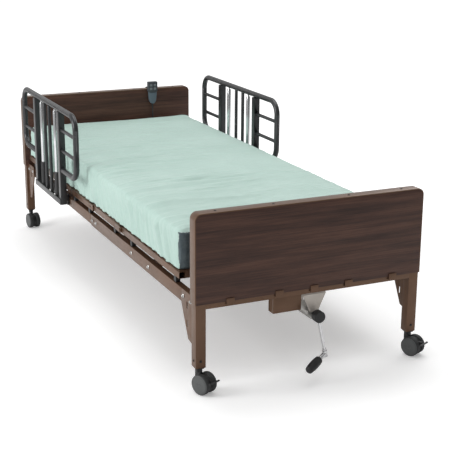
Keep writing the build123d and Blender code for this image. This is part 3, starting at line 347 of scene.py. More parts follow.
# ---------------------------------------------------------------- clips and screws of the boards
# Pressed steel clips hold the lower edge of each board, and pan-head screws go down through the
# band into the top rail.
zinc = coating(
    "zinc_plate", (0.50, 0.50, 0.49), (0.66, 0.66, 0.65), (0.24, 0.40), 1.0, blotch=40.0,
    grain=1500.0,
)
dark_zinc = coating(
    "blackened_screw", (0.035, 0.030, 0.027), (0.060, 0.050, 0.044), (0.34, 0.46), 0.7,
    blotch=40.0,
)


def islands(node):
    """The (low, high) corners of each separate solid in a CAD piece."""
    shape = clean_copy(node)
    todo = set(shape.verts)
    found = []
    while todo:
        front = [todo.pop()]
        group = list(front)
        while front:
            for edge in front.pop().link_edges:
                for vert in edge.verts:
                    if vert in todo:
                        todo.remove(vert)
                        front.append(vert)
                        group.append(vert)
        spots = [v.co for v in group]
        low = Vector([min(c[i] for c in spots) for i in range(3)])
        high = Vector([max(c[i] for c in spots) for i in range(3)])
        found.append((low, high))
    shape.free()
    return sorted(found, key=lambda pair: tuple(pair[0]))


def new_tree(name, sizes):
    """A geometry tree that takes points, some sizes and a material."""
    tree = bpy.data.node_groups.new(name, "GeometryNodeTree")
    kinds = [("Points", "Geometry"), *((label, "Float") for label in sizes), ("Metal", "Material")]
    for label, kind in kinds:
        tree.interface.new_socket(label, in_out="INPUT", socket_type="NodeSocket" + kind)
    tree.interface.new_socket("Made", in_out="OUTPUT", socket_type="NodeSocketGeometry")
    return tree, tree.nodes.new("NodeGroupInput"), tree.nodes.new("NodeGroupOutput")


def set_out(tree, start, end, shape):
    """Set the shape on each point, facing its own way, and make it real."""
    join_up = tree.links.new
    way = tree.nodes.new("GeometryNodeInputNamedAttribute")
    way.data_type = "FLOAT_VECTOR"
    way.inputs["Name"].default_value = "way"
    turn = tree.nodes.new("FunctionNodeAlignRotationToVector")
    turn.axis = "Z"
    join_up(way.outputs["Attribute"], turn.inputs["Vector"])
    setting = tree.nodes.new("GeometryNodeInstanceOnPoints")
    join_up(start.outputs["Points"], setting.inputs["Points"])
    join_up(shape, setting.inputs["Instance"])
    join_up(turn.outputs["Rotation"], setting.inputs["Rotation"])
    real = tree.nodes.new("GeometryNodeRealizeInstances")
    join_up(setting.outputs[0], real.inputs[0])
    painted = tree.nodes.new("GeometryNodeSetMaterial")
    join_up(real.outputs[0], painted.inputs["Geometry"])
    join_up(start.outputs["Metal"], painted.inputs["Material"])
    join_up(painted.outputs[0], end.inputs[0])
    return tree


head_sizes = ("Flange Radius", "Flange Height", "Hexagon Radius", "Hexagon Height")


def head_tree():
    """Geometry nodes that set a flanged hexagon head on each point, facing its own way."""
    tree, start, end = new_tree("flanged_heads", head_sizes)
    join_up = tree.links.new

    flange = tree.nodes.new("GeometryNodeMeshCone")
    flange.inputs["Vertices"].default_value = 20
    join_up(start.outputs["Flange Radius"], flange.inputs["Radius Bottom"])
    flange_taper = 0.72
    radius = start.outputs["Flange Radius"]
    top = calculated(tree.nodes, tree.links, "MULTIPLY", radius, flange_taper)
    join_up(top, flange.inputs["Radius Top"])
    join_up(start.outputs["Flange Height"], flange.inputs["Depth"])

    hexagon = tree.nodes.new("GeometryNodeMeshCylinder")
    hexagon.inputs["Vertices"].default_value = 6
    join_up(start.outputs["Hexagon Radius"], hexagon.inputs["Radius"])
    join_up(start.outputs["Hexagon Height"], hexagon.inputs["Depth"])
    lift = tree.nodes.new("ShaderNodeCombineXYZ")
    half = calculated(tree.nodes, tree.links, "MULTIPLY", start.outputs["Hexagon Height"], 0.5)
    join_up(half, lift.inputs["Z"])
    raised = tree.nodes.new("GeometryNodeTransform")
    join_up(hexagon.outputs["Mesh"], raised.inputs["Geometry"])
    join_up(lift.outputs[0], raised.inputs["Translation"])

    head = tree.nodes.new("GeometryNodeJoinGeometry")
    join_up(flange.outputs["Mesh"], head.inputs[0])
    join_up(raised.outputs["Geometry"], head.inputs[0])
    return set_out(tree, start, end, head.outputs[0])


heads = head_tree()


def set_input(modifier, label, value):
    """Give a modifier's input by its label."""
    for item in modifier.node_group.interface.items_tree:
        if item.item_type == "SOCKET" and item.in_out == "INPUT" and item.name == label:
            modifier[item.identifier] = value


def settle(piece):
    """Turn what the modifiers make into the piece's own plain mesh."""
    graph = bpy.context.evaluated_depsgraph_get()
    made = bpy.data.meshes.new_from_object(piece.evaluated_get(graph))
    piece.modifiers.clear()
    piece.data = made
    return piece


def fasteners(name, places, sizes, material, body, tree=heads, labels=head_sizes):
    """Bolt heads, screw heads or stitches at (point, way) places, all on one body."""
    mesh = bpy.data.meshes.new(name)
    mesh.from_pydata([tuple(point) for point, _ in places], [], [])
    ways = mesh.attributes.new("way", "FLOAT_VECTOR", "POINT")
    for row, (_, out) in zip(ways.data, places):
        row.vector = out
    piece = bpy.data.objects.new(name, mesh)
    bpy.context.scene.collection.objects.link(piece)
    modifier = piece.modifiers.new("heads", "NODES")
    modifier.node_group = tree
    for label, value in zip(labels, sizes):
        set_input(modifier, label, value)
    set_input(modifier, "Metal", material)
    settle(piece)
    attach(piece, body)
    return piece


# A clip is a plate up the board's face and a lower, slightly narrower tongue behind it.
widest_screw = 0.02
plate_thickness, tongue_height = 0.0028, 0.012
inset_x, inset_y, inset_z = 0.001, 0.0008, 0.0004
screw_places, clip_shape = [], []
for low, high in islands("panel_fixings"):
    middle = (low + high) / 2
    if high.x - low.x < widest_screw:
        screw_places.append(((middle.x, middle.y, low.z), (0, 0, 1)))
        continue
    outside = -1 if low.y < 0 else 1
    face = low.y if outside < 0 else high.y
    plate = sorted((face, face - outside * plate_thickness))
    clip_shape.append(((low.x, plate[0], low.z), (high.x, plate[1], high.z)))
    clip_shape.append(
        (
            (low.x + inset_x, low.y + inset_y, low.z + inset_z),
            (high.x - inset_x, high.y - inset_y, low.z + tongue_height),
        )
    )
clips = soft_boxes("board_clips", clip_shape, tan, 0.0009, 2)
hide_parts("panel_fixings")
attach(clips, "bed_frame")
fasteners(
    "board_screws", screw_places, (0.0056, 0.0012, 0.0030, 0.0022), dark_zinc, "bed_frame"
)

# Two small bolts near the foot of each outer leg and one behind it, higher up.
leg_side = 0.038
low_bolt, high_bolt = 0.025, 0.24
bolt_places = []
for end in ("foot_end_frame", "head_end_frame"):
    low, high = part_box(end)
    outward = -1 if low.y < 0 else 1
    face = low.y if outward < 0 else high.y
    middle_y = (low.y + high.y) / 2
    for side in (-1, 1):
        outer = high.x if side > 0 else low.x
        leg_middle = outer - side * leg_side / 2
        bolt_places.append(((outer, middle_y, low.z + low_bolt), (side, 0, 0)))
        bolt_places.append(((leg_middle, face, low.z + low_bolt), (0, outward, 0)))
        bolt_places.append(
            ((leg_middle, face - outward * leg_side, high_bolt), (0, -outward, 0))
        )
fasteners("leg_bolts", bolt_places, (0.0052, 0.001, 0.0036, 0.0028), dark_zinc, "bed_frame")

# ---------------------------------------------------------------- casters
# Twin-wheel furniture casters: a black nylon hood between two moulded wheels, with grey discs,
# a soft tread, a hub cap and, on the foot end, a brake pedal.
disc_grey = coating(
    "caster_disc", (0.070, 0.074, 0.074), (0.095, 0.100, 0.100), (0.40, 0.52), depth=0.00008
)
tread_grey = coating(
    "caster_tread", (0.022, 0.023, 0.024), (0.040, 0.041, 0.042), (0.6, 0.75), depth=0.00015
)


def turned(name, profile, origin, axis, materials, steps=56):
    """Rows of (radius, distance along the axis, material number) spun about the axis."""
    aim = Vector(axis).to_track_quat("Z", "Y").to_matrix().to_4x4()
    where = Matrix.Translation(Vector(origin)) @ aim
    turns = [i * 2 * pi / steps for i in range(steps)]
    shape = bmesh.new()
    rings = []
    for radius, along, _ in profile:
        spots = [(radius * cos(turn), radius * sin(turn), along) for turn in turns]
        if radius == 0:
            spots = [(0, 0, along)]
        rings.append([shape.verts.new(where @ Vector(spot)) for spot in spots])
    for row, (before, after) in enumerate(zip(rings, rings[1:])):
        for i in range(steps):
            j = (i + 1) % steps
            near = [before[i % len(before)], before[j % len(before)]]
            far = [after[j % len(after)], after[i % len(after)]]
            unique = list(dict.fromkeys(near + far))
            if len(unique) > 2:
                face = shape.faces.new(unique)
                face.material_index = profile[row][2]
    bmesh.ops.recalc_face_normals(shape, faces=shape.faces)
    mesh = bpy.data.meshes.new(name)
    shape.to_mesh(mesh)
    shape.free()
    for material in materials:
        mesh.materials.append(material)
    for face in mesh.polygons:
        face.use_smooth = True
    mesh.set_sharp_from_angle(angle=radians(40))
    piece = bpy.data.objects.new(name, mesh)
    bpy.context.scene.collection.objects.link(piece)
    return piece


def merged(name, parts):
    """Several made pieces as one object."""
    for part in parts:
        part.select_set(True)
    bpy.context.view_layer.objects.active = parts[0]
    with bpy.context.temp_override(
        active_object=parts[0], selected_editable_objects=parts, selected_objects=parts
    ):
        bpy.ops.object.join()
    parts[0].name = name
    parts[0].select_set(False)
    return parts[0]


joints = {joint["name"]: joint for joint in frame["joints"]}
TYRE, DISC = 0, 1
wheel_profile = (
    (0.0045, 0.0075, DISC), (0.0290, 0.0075, DISC), (0.0300, 0.0085, DISC), (0.0345, 0.0085, TYRE),
    (0.0366, 0.0092, TYRE), (0.0375, 0.0112, TYRE), (0.0375, 0.0235, TYRE), (0.0369, 0.0256, TYRE),
    (0.0354, 0.0270, DISC), (0.0338, 0.0277, DISC), (0.0331, 0.0268, DISC), (0.0318, 0.0268, DISC),
    (0.0311, 0.0280, DISC), (0.0250, 0.0286, DISC), (0.0120, 0.0289, DISC), (0.0085, 0.0289, DISC),
    (0.0080, 0.0282, DISC), (0.0068, 0.0282, DISC), (0.0062, 0.0289, DISC), (0.0, 0.0290, DISC),
)
for name in ("foot_left", "foot_right", "head_left", "head_right"):
    roll_joint = joints[name + "_roll"]
    hub = Vector(roll_joint["pos_m"])
    axle = Vector(roll_joint["axis"])
    pair = [
        turned(f"{name}_wheel_{number}", wheel_profile, hub, axle * way, [tread_grey, disc_grey])
        for number, way in enumerate((-1, 1))
    ]
    wheels = merged(name + "_wheel_pair", pair)
    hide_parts(name + "_wheels")
    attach(wheels, name + "_wheels")
    eased(name + "_caster", black, 0.0008)
# The pedals reach out less far than their solids.
pedal_root, drawn_in = 0.004, 0.4
for name in ("foot_left", "foot_right"):
    pedal = eased(name + "_brake", black, 0.0008)
    pivot = Vector(joints[name + "_brake_press"]["pos_m"])
    forward = pivot - Vector(joints[name + "_roll"]["pos_m"])
    forward.z = 0
    forward.normalize()
    for vert in pedal.data.vertices:
        vert.co -= forward * drawn_in * max(0.0, (vert.co - pivot).dot(forward) - pedal_root)

# ---------------------------------------------------------------- side frame
# Two halves of folded steel channel, spliced and bolted near the middle, with cross tubes welded
# between them and slotted gusset plates that hook onto the bed ends.
for node in ("foot_side_frame", "head_side_frame", "corner_brackets"):
    eased(node, tan, 0.0009)
head_reach = 0.004
places = []
for low, high in islands("frame_bolts"):
    side = 1 if low.x > 0 else -1
    outer = high.x if side > 0 else low.x
    middle = (low + high) / 2
    if high.x - low.x > high.y - low.y:
        box_bolt = ((middle.x, low.y + head_reach, middle.z), (0, -1, 0))
    else:
        places.append(((outer - side * head_reach, middle.y, middle.z), (side, 0, 0)))
bolts = fasteners("frame_bolt_heads", places, (0.0078, 0.0014, 0.0050, 0.0042), zinc, "bed_frame")
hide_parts("frame_bolts")
fasteners(
    "box_bolt_head", [box_bolt], (0.0088, 0.0014, 0.0060, 0.0042), dark_zinc, "bed_frame"
)

# ---------------------------------------------------------------- mattress deck
# Four sections of square tube with pressed steel slats, hinged at the hips and knees. The seat
# section is bolted to standoffs; the others rest on pads.
for node in ("seat_deck", "backrest_frame", "thigh_frame", "calf_frame"):
    eased(node, tan, 0.0009)
eased("deck_supports", black, 0.0009)

# ---------------------------------------------------------------- mattress
# One foam mattress in a loose coated cover of pale mint cloth, with a slate panel sewn in across
# the foot. It lies free on the slats.
mint, nodes, links, shader, place = new_finish("mint_cover")
drift = spread(nodes, links, place, (1, 1, 1), 5.0, 3.0)
pale_mints = [(0.3, (0.395, 0.545, 0.490)), (0.7, (0.435, 0.585, 0.530))]
links.new(ramp(nodes, links, drift, pale_mints), shader.inputs["Base Color"])
yarns = []
for way in ("X", "Y"):
    yarn = nodes.new("ShaderNodeTexWave")
    yarn.bands_direction = way
    yarn.inputs["Scale"].default_value = 420
    links.new(place, yarn.inputs["Vector"])
    yarns.append(yarn.outputs["Fac"])
threads = calculated(nodes, links, "MAXIMUM", *yarns)
crumple = spread(nodes, links, place, (0.7, 2.4, 1.0), 24.0, 5.0, 0.6)
under = relief(nodes, links, shader, crumple, 0.0042)
relief(nodes, links, shader, threads, 0.00012, under)
links.new(between(nodes, links, crumple, 0.50, 0.62), shader.inputs["Roughness"])
shader.inputs["Sheen Weight"].default_value = 0.15
shader.inputs["Sheen Roughness"].default_value = 0.4

slate, nodes, links, shader, place = new_finish("slate_panel")
mottle = spread(nodes, links, place, (1, 1, 1), 30.0, 6.0, 0.7)
slates = [(0.35, (0.050, 0.068, 0.076)), (0.65, (0.105, 0.135, 0.148))]
links.new(ramp(nodes, links, mottle, slates), shader.inputs["Base Color"])
knit = spread(nodes, links, place, (1, 1, 1), 700.0, 2.0)
relief(nodes, links, shader, knit, 0.0003)
shader.inputs["Roughness"].default_value = 0.85

foot_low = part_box("mattress_calf")[0]
head_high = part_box("mattress_head")[1]


def edge_rise(edge):
    """How far an edge goes up or down."""
    return abs((edge.verts[0].co - edge.verts[1].co).z)


pull_in = 0.006
corner_radius, rim_radius = 0.028, 0.007
core = bmesh.new()
low = foot_low + Vector((pull_in, pull_in * 0.5, 0.0))
high = head_high - Vector((pull_in, pull_in * 0.5, pull_in))
block = Matrix.Translation((low + high) / 2) @ Matrix.Diagonal((*(high - low), 1))
bmesh.ops.create_cube(core, size=1, matrix=block)
upright = [e for e in core.edges if edge_rise(e) > 0.01]
bmesh.ops.bevel(core, geom=upright, offset=corner_radius, segments=4, profile=0.5, affect="EDGES")
rim = [e for e in core.edges if e.calc_face_angle(0) > radians(60) and edge_rise(e) < 0.001]
bmesh.ops.bevel(core, geom=rim, offset=rim_radius, segments=2, profile=0.5, affect="EDGES")
mattress = as_piece("mattress_cover", core, mint)
grid = mattress.modifiers.new("grid", "REMESH")
grid.mode = "VOXEL"
grid.voxel_size = 0.012
settle(mattress)
rest_spots = [v.co.copy() for v in mattress.data.vertices]

cloth_frames = 14
resting = [v.index for v in mattress.data.vertices if v.co.z < foot_low.z + 0.004]
held = mattress.vertex_groups.new(name="on_slats")
held.add(resting, 1.0, "REPLACE")
cloth = mattress.modifiers.new("cover", "CLOTH")
cloth.settings.quality = 4
cloth.settings.mass = 0.25
cloth.settings.use_pressure = True
cloth.settings.uniform_pressure_force = 4.0
cloth.settings.vertex_group_mass = "on_slats"
cloth.settings.effector_weights.gravity = 0.0
cloth.settings.tension_stiffness = 12
cloth.settings.bending_stiffness = 0.4
scene = bpy.context.scene
for number in range(1, cloth_frames + 1):
    scene.frame_set(number)
settle(mattress)
scene.frame_set(1)
most_swell = 0.007
for vert, before in zip(mattress.data.vertices, rest_spots):
    moved = vert.co - before
    if moved.length > most_swell:
        vert.co = before + moved * (most_swell / moved.length)
    vert.co.z = max(vert.co.z, foot_low.z)
finer = mattress.modifiers.new("finer", "SUBSURF")
finer.levels = finer.render_levels = 1
settle(mattress)


def valley(value):
    """A fold's section: a soft hill on each side of a narrow dip where the value passes nought."""
    return (value * value + 0.0016) ** 0.5 - 0.16


def clamped(value):
    """A value kept from nought to one."""
    return min(1.0, max(0.0, value))


# Depths in metres: the ripples across the top, the puckers down the sides, and one deep crease
# with a low swell beside it.
ripple_depth, fine_depth = 0.0210, 0.0075
pucker_depth, small_depth = 0.0190, 0.0070
crease_depth, crease_place, crease_width = 0.013, 1.300, 0.014
swell_depth, swell_width = 0.008, 0.05
e_base = 2.718


def folds(spot, out):
    """How far the cover stands off its foam: ripples on top, slanted puckers on the sides."""
    back = spot.y - foot_y
    wander = noise.noise(Vector((spot.x * 2.3, spot.y * 1.6, 4.0)))
    slope = spot.y + 0.07 * spot.x + 0.045 * wander
    ripple = noise.noise(Vector((spot.x * 1.5, slope * 19.0, 1.0)))
    fine = noise.noise(Vector((spot.x * 3.0, (slope - 0.10 * spot.x) * 41.0, 2.0)))
    loose = 0.75 + 0.9 * noise.noise(Vector((spot.x * 1.6, spot.y * 1.9, 9.0)))
    calm = 1.0 - 0.55 * clamped((back - 1.45) / 0.35)
    on_top = max(0.0, out.z)
    inward = 1.0 - 0.6 * clamped((abs(spot.x) - 0.36) / 0.08)
    rippled = ripple_depth * valley(ripple) + fine_depth * valley(fine)
    top = rippled * loose * calm * inward * on_top
    drop = spot.z - foot_low.z
    slant = spot.y - 0.42 * drop + 0.02 * noise.noise(Vector((spot.y * 3.0, drop * 9.0, 3.0)))
    pucker = noise.noise(Vector((slant * 23.0, drop * 4.0, 6.0 + spot.x)))
    small = noise.noise(Vector((slant * 49.0, drop * 7.0, 7.0 + spot.x)))
    on_side = abs(out.x)
    under_rim = clamped((head_high.z - 0.008 - spot.z) / 0.035)
    side = (pucker_depth * valley(pucker) + small_depth * valley(small)) * on_side * under_rim
    left = clamped((0.10 - spot.x) / 0.52)
    line = back - crease_place - 0.10 * (spot.x + 0.44)
    dip = e_base ** (-((line / crease_width) ** 2))
    hump = e_base ** (-(((line + swell_width) / swell_width) ** 2))
    crease = -crease_depth * left * dip * max(on_top, 0.7 * on_side)
    swell = swell_depth * left * hump * on_top
    return top + side + crease + swell


normals = [v.normal.copy() for v in mattress.data.vertices]
for vert, out in zip(mattress.data.vertices, normals):
    if out.z > -0.5:
        vert.co += out * folds(vert.co, out)
    vert.co.z = max(vert.co.z, foot_low.z)

# The slate panel is cut out along straight seams, so that it stops in clean lines.
panel_side = head_high.x - 0.016
panel_top = head_high.z - 0.014
panel_back = foot_low.y + 0.03
seams = (
    ((panel_side, 0, 0), (1, 0, 0)),
    ((-panel_side, 0, 0), (1, 0, 0)),
    ((0, 0, panel_top), (0, 0, 1)),
)
skin = bmesh.new()
skin.from_mesh(mattress.data)
for point, way in seams:
    near = [f for f in skin.faces if f.calc_center_median().y < panel_back]
    near_edges = {e for f in near for e in f.edges}
    near_verts = {v for f in near for v in f.verts}
    near += [*near_edges, *near_verts]
    bmesh.ops.bisect_plane(skin, geom=near, dist=1e-5, plane_co=point, plane_no=way)
skin.to_mesh(mattress.data)
skin.free()
mattress.data.materials.append(slate)
for face in mattress.data.polygons:
    spot = face.center
    across_foot = spot.y < panel_back and abs(spot.x) < panel_side and spot.z < panel_top
    face.material_index = 1 if face.normal.z < -0.7 or across_foot else 0
    face.use_smooth = True
on_seam = 1e-4
lowest_stitch = foot_low.z + 0.01
seam_spots = {}
for vert in mattress.data.vertices:
    spot = vert.co.copy()
    if spot.y < panel_back and spot.z < panel_top + on_seam:
        if abs(spot.z - panel_top) < on_seam and abs(spot.x) < panel_side + on_seam:
            seam_spots.setdefault("top", []).append(spot)
        if abs(abs(spot.x) - panel_side) < on_seam and spot.z > lowest_stitch:
            seam_spots.setdefault("left" if spot.x < 0 else "right", []).append(spot)


def stretch_of(name, start, stop):
    """The part of the mattress between two places along the bed, closed where it is parted."""
    shape = bmesh.new()
    shape.from_mesh(mattress.data)
    for at, way in ((start, -1), (stop, 1)):
        if at is None:
            continue
        cut = bmesh.ops.bisect_plane(
            shape, geom=shape.verts[:] + shape.edges[:] + shape.faces[:], dist=1e-6,
            plane_co=(0, at, 0), plane_no=(0, way, 0), clear_outer=True,
        )
        loop = [g for g in cut["geom_cut"] if isinstance(g, bmesh.types.BMEdge)]
        filled = bmesh.ops.triangle_fill(shape, edges=loop, normal=(0, way, 0), use_dissolve=False)
        faces = [g for g in filled["geom"] if isinstance(g, bmesh.types.BMFace)]
        for face in faces:
            face.material_index = 1
            face.smooth = False
        bmesh.ops.split_edges(shape, edges=loop)
    mesh = bpy.data.meshes.new(name)
    shape.to_mesh(mesh)
    shape.free()
    mesh.materials.append(mint)
    mesh.materials.append(slate)
    piece = bpy.data.objects.new(name, mesh)
    bpy.context.scene.collection.objects.link(piece)
    return piece


seat_low, seat_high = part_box("mattress_seat")
thigh_low, thigh_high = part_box("mattress_thigh")
seat_middle = (seat_low.y + seat_high.y) / 2
thigh_middle = (thigh_low.y + thigh_high.y) / 2
pillow_half = stretch_of("mattress_head_half", seat_middle, None)
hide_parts("mattress_head", "mattress_back_bend", "mattress_seat")
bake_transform(pillow_half)
hip_part = stretch_of("mattress_hip_part", thigh_middle, seat_middle)
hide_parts("mattress_thigh_bend", "mattress_thigh")
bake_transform(hip_part)
foot_half = stretch_of("mattress_foot_half", None, thigh_middle)
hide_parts("mattress_calf")
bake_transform(foot_half)
bpy.data.objects.remove(mattress)

# Pale thread holds the slate panel along its seams, one short stitch after another.
thread = coating("pale_thread", (0.55, 0.62, 0.60), (0.70, 0.76, 0.74), (0.6, 0.75), grain=2600.0)
thread_sizes = ("Thread Radius", "Thread Length")
threads_tree, start, end = new_tree("short_stitches", thread_sizes)
strand = threads_tree.nodes.new("GeometryNodeMeshCylinder")
strand.inputs["Vertices"].default_value = 8
threads_tree.links.new(start.outputs["Thread Radius"], strand.inputs["Radius"])
threads_tree.links.new(start.outputs["Thread Length"], strand.inputs["Depth"])
set_out(threads_tree, start, end, strand.outputs["Mesh"])
stitch_pitch = 0.009
proud = Vector((0, -0.0004, 0))
stitches = []
for side, spots in sorted(seam_spots.items()):
    upright_seam = side != "top"
    spots.sort(key=lambda spot: spot.z if upright_seam else spot.x)
    reach = 0.0
    for before, after in zip(spots, spots[1:]):
        reach += (after - before).length
        if reach >= stitch_pitch and (after - before).length > 1e-5:
            reach = 0.0
            stitches.append((tuple(after + proud), tuple((after - before).normalized())))
fasteners(
    "panel_stitches", stitches, (0.0008, 0.0055), thread, "calf", threads_tree,
    thread_sizes,
)

# ---------------------------------------------------------------- lift drive
# Die-cast gearboxes on folded zinc brackets, a long drive shaft under the bed and one plain steel
# lift screw inside each bed end.
cast = coating(
    "die_casting", (0.40, 0.39, 0.37), (0.52, 0.51, 0.49), (0.38, 0.55), 0.9, blotch=25.0,
    grain=500.0, depth=0.0002,
)
# The brackets' pale beige is partly their own light finish and partly a painted highlight: the reflection on the
# plate is baked into its colour.
pale_bracket_and_highlight = coating(
    "bracket_paint_and_highlight", (0.50, 0.45, 0.40), (0.60, 0.55, 0.50), (0.40, 0.52), 0.3, blotch=20.0
)
steel = coating(
    "oiled_steel", (0.20, 0.20, 0.20), (0.32, 0.32, 0.31), (0.28, 0.42), 1.0, blotch=30.0
)
eased("lift_gearboxes", cast, 0.001)
eased("drive_brackets", pale_bracket_and_highlight, 0.0008)
eased("drive_shaft", steel, 0.0008)
for node in ("foot_lift_screw", "head_lift_screw"):
    eased(node, steel, 0.0005)

# ---------------------------------------------------------------- crank
# A black hub on the end of the shaft, a bright round arm, a plated elbow that folds, and a
# turned black grip that spins on its spindle.
bright = coating(
    "bright_plate", (0.66, 0.66, 0.67), (0.78, 0.78, 0.79), (0.10, 0.20), 1.0, blotch=30.0,
    depth=0.00002,
)
eased("crank_hub", black, 0.0006)
eased("crank_arm", bright, 0.0005)
eased("crank_elbow", bright, 0.0008)
spin = joints["grip_spin"]
elbow_at, grip_way = Vector(spin["pos_m"]), Vector(spin["axis"])
grip_spots = [Vector(v.co) for v in frame["nodes"]["crank_grip"].data.vertices]
reaches = [(spot - elbow_at).dot(grip_way) for spot in grip_spots]
shorter_by, spindle_cover = 0.020, 0.004
grip_start, grip_stop = min(reaches), max(reaches) - shorter_by
spindle = bpy.data.objects["crank_elbow_made"]
spindle_stop = grip_stop - spindle_cover
for vert in spindle.data.vertices:
    vert.co -= grip_way * max(0.0, (vert.co - elbow_at).dot(grip_way) - spindle_stop)
grip_length = grip_stop - grip_start
grip_radius = 0.0172
outline = [(0.0042, grip_start, 0), (0.0105, grip_start, 0), (0.0125, grip_start + 0.0012, 0)]
steps, rib_depth = 26, 0.00035
for i in range(steps + 1):
    share = i / steps
    swell = 0.80 + 0.20 * sin(pi * min(1.0, 0.12 + share * 0.82))
    rib = rib_depth * (i % 2)
    along = grip_start + 0.003 + share * (grip_length - 0.009)
    outline.append((grip_radius * swell - rib, along, 0))
outline += [(0.0120, grip_stop - 0.0025, 0), (0.0080, grip_stop - 0.0006, 0), (0.0, grip_stop, 0)]
grip = turned("crank_grip_turned", outline, elbow_at, grip_way, [black], 48)
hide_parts("crank_grip")
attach(grip, "grip")

# ---------------------------------------------------------------- actuators and control box
# Two push actuators with grey plastic housings and plated rods work the backrest and the knees.
# The control box hangs on the right side channel.
grey = coating(
    "grey_housing", (0.20, 0.21, 0.215), (0.25, 0.26, 0.265), (0.42, 0.55), depth=0.00012
)
eased("actuator_bodies", grey, 0.002, 3)
eased("control_box", grey, 0.0012)
for node in ("back_actuator_rod", "thigh_actuator_rod"):
    eased(node, zinc, 0.0006)

# ---------------------------------------------------------------- side rails
# Half-length drop rails: a bent tube hoop, wide posts, rungs and bars in charcoal enamel. The
# bright posts run in black sleeves bolted to the side frame, locked by sprung pull pins.
charcoal = coating(
    "charcoal_enamel", (0.031, 0.032, 0.034), (0.044, 0.045, 0.047), (0.28, 0.38), 0.45, coat=0.2
)
chrome = coating(
    "chrome_plate", (0.62, 0.63, 0.64), (0.72, 0.73, 0.74), (0.06, 0.14), 1.0, blotch=20.0,
    depth=0.00001,
)
for side in ("left", "right"):
    eased(side + "_rail_frame", charcoal, 0.0012)
    eased(side + "_rail_posts", chrome, 0.0006)
    for end in ("foot", "head"):
        eased(f"{side}_{end}_release", bright, 0.0004)
eased("rail_bases", black, 0.0012)

# ---------------------------------------------------------------- hand control and its cord
# A two-tone moulded hand control hangs by a clip over the head end. Its thin black cord drops
# behind the mattress and runs under the deck to the control box.
case_grey = coating(
    "control_case", (0.036, 0.041, 0.047), (0.050, 0.056, 0.064), (0.38, 0.5), depth=0.0001
)
case_blue = coating(
    "control_grip", (0.085, 0.115, 0.140), (0.105, 0.140, 0.168), (0.36, 0.46), depth=0.0001
)
key_grey = coating("control_keys", (0.135, 0.150, 0.162), (0.175, 0.190, 0.202), (0.45, 0.55))


def front_area(pair):
    """The area of a (low, high) box seen from the foot end."""
    size = pair[1] - pair[0]
    return size.x * size.z


whole = sorted(islands("pendant_body"), key=lambda pair: -front_area(pair))
case_low, case_high = whole[0]
centre = (case_low + case_high) / 2


def outline_block(name, points, back, front, width, material):
    """A moulding with this outline seen from the foot end, its edges rounded."""
    shape = bmesh.new()
    rear = [shape.verts.new((x, back, z)) for x, z in points]
    fore = [shape.verts.new((x, front, z)) for x, z in points]
    shape.faces.new(rear)
    shape.faces.new(list(reversed(fore)))
    for i in range(len(points)):
        j = (i + 1) % len(points)
        shape.faces.new((rear[i], rear[j], fore[j], fore[i]))
    bmesh.ops.recalc_face_normals(shape, faces=shape.faces)
    rounded(shape, shape.edges[:], width, 3, profile=0.5)
    return as_piece(name, shape, material)


head_height = 0.050
head_z = case_high.z - head_height
half = (case_high.x - case_low.x) / 2
left, right = centre.x - half, centre.x + half
upper = outline_block(
    "control_head",
    [
        (left, case_high.z), (left, head_z), (left + 0.006, head_z - 0.008),
        (right - 0.006, head_z - 0.008), (right, head_z), (right, case_high.z),
    ],
    case_high.y, case_low.y, 0.003, case_grey,
)
lower = outline_block(
    "control_handle",
    [
        (left + 0.004, head_z - 0.007), (left + 0.008, case_low.z + 0.016),
        (left + 0.016, case_low.z + 0.003), (centre.x - 0.006, case_low.z),
        (centre.x + 0.006, case_low.z), (right - 0.016, case_low.z + 0.003),
        (right - 0.008, case_low.z + 0.016), (right - 0.004, head_z - 0.007),
    ],
    case_high.y - 0.001, case_low.y + 0.0015, 0.004, case_blue,
)
hook_low, hook_high = [pair for pair in whole[1:] if pair[1].z > head_z][0]
relief_low, relief_high = [pair for pair in whole[1:] if pair[1].z < head_z][0]
strap, lip = 0.003, 0.022
front, back = hook_low.y, hook_high.y
low_x, high_x, top_z = hook_low.x, hook_high.x, hook_high.z
hook = soft_boxes(
    "control_hook",
    [
        ((low_x, front, hook_low.z), (high_x, front + strap, top_z)),
        ((low_x, front, top_z - strap), (high_x, back, top_z)),
        ((low_x, back - strap, top_z - lip), (high_x, back, top_z)),
    ],
    case_grey, 0.001,
)
sleeve = [(0.0031, -0.001, 0), (0.0036, -0.0011, 0)]
ribs = 7
reach = relief_high.z - relief_low.z
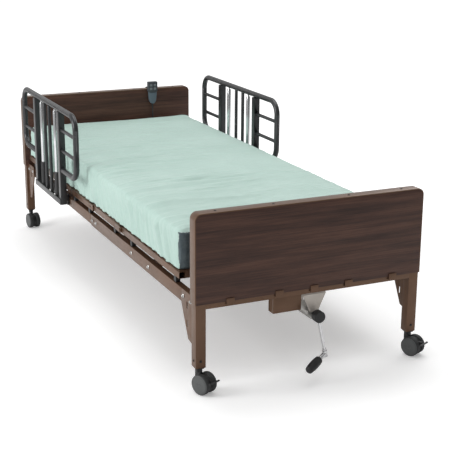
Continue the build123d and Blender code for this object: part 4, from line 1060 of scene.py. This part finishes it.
for i in range(ribs):
    at = reach * i / ribs
    swell = 0.0037 + 0.0013 * i / ribs
    crown = swell + 0.0005
    sleeve += [(swell, at, 0), (crown, at + 0.0008, 0), (crown, at + 0.0018, 0)]
    sleeve.append((swell, at + 0.0024, 0))
sleeve += [(0.0052, reach, 0), (0.0, reach + 0.001, 0)]
relief_foot = ((relief_low + relief_high) / 2).xy.to_3d() + Vector((0, 0, relief_low.z))
gland = turned("control_strain_relief", sleeve, relief_foot, (0, 0, 1), [black], 32)
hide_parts("pendant_body")
for piece in (upper, lower, hook, gland):
    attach(piece, "bed_frame")
for node in ("head_up_key", "head_down_key", "knee_up_key", "knee_down_key"):
    eased(node, key_grey, 0.0016, 3)

cord_black = coating(
    "cord_sheath", (0.010, 0.010, 0.011), (0.018, 0.018, 0.019), (0.42, 0.52), grain=1400.0
)
# Right of the control, back from it, and height, in metres.
route = (
    (0.000, 0.0000, 0.5990), (0.001, 0.0005, 0.5520), (0.004, 0.0020, 0.4880),
    (0.010, 0.0030, 0.4280), (0.022, 0.0020, 0.3720), (0.045, -0.0040, 0.3260),
    (0.085, -0.0140, 0.3030), (0.132, -0.0300, 0.3020), (0.168, -0.0680, 0.3010),
    (0.180, -0.1320, 0.3000), (0.183, -0.2150, 0.2996), (0.179, -0.3000, 0.2998),
    (0.183, -0.3850, 0.2996), (0.178, -0.4700, 0.2998), (0.183, -0.5550, 0.2996),
    (0.181, -0.6350, 0.3002), (0.171, -0.6920, 0.3060), (0.160, -0.7270, 0.3150),
    (0.154, -0.7890, 0.3200),
)
line = bpy.data.curves.new("hand_control_cord", "CURVE")
line.dimensions = "3D"
spline = line.splines.new("NURBS")
spline.points.add(len(route) - 1)
for point, (right, back, height) in zip(spline.points, route):
    point.co = (centre.x + right, centre.y + back, height, 1)
spline.order_u = 3
spline.use_endpoint_u = True
spline.resolution_u = 8
line.bevel_depth = 0.003
line.bevel_resolution = 4
line.use_fill_caps = True
line.materials.append(cord_black)
cord = bpy.data.objects.new("hand_control_cord", line)
bpy.context.scene.collection.objects.link(cord)
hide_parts("pendant_cord")
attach(cord, "bed_frame")
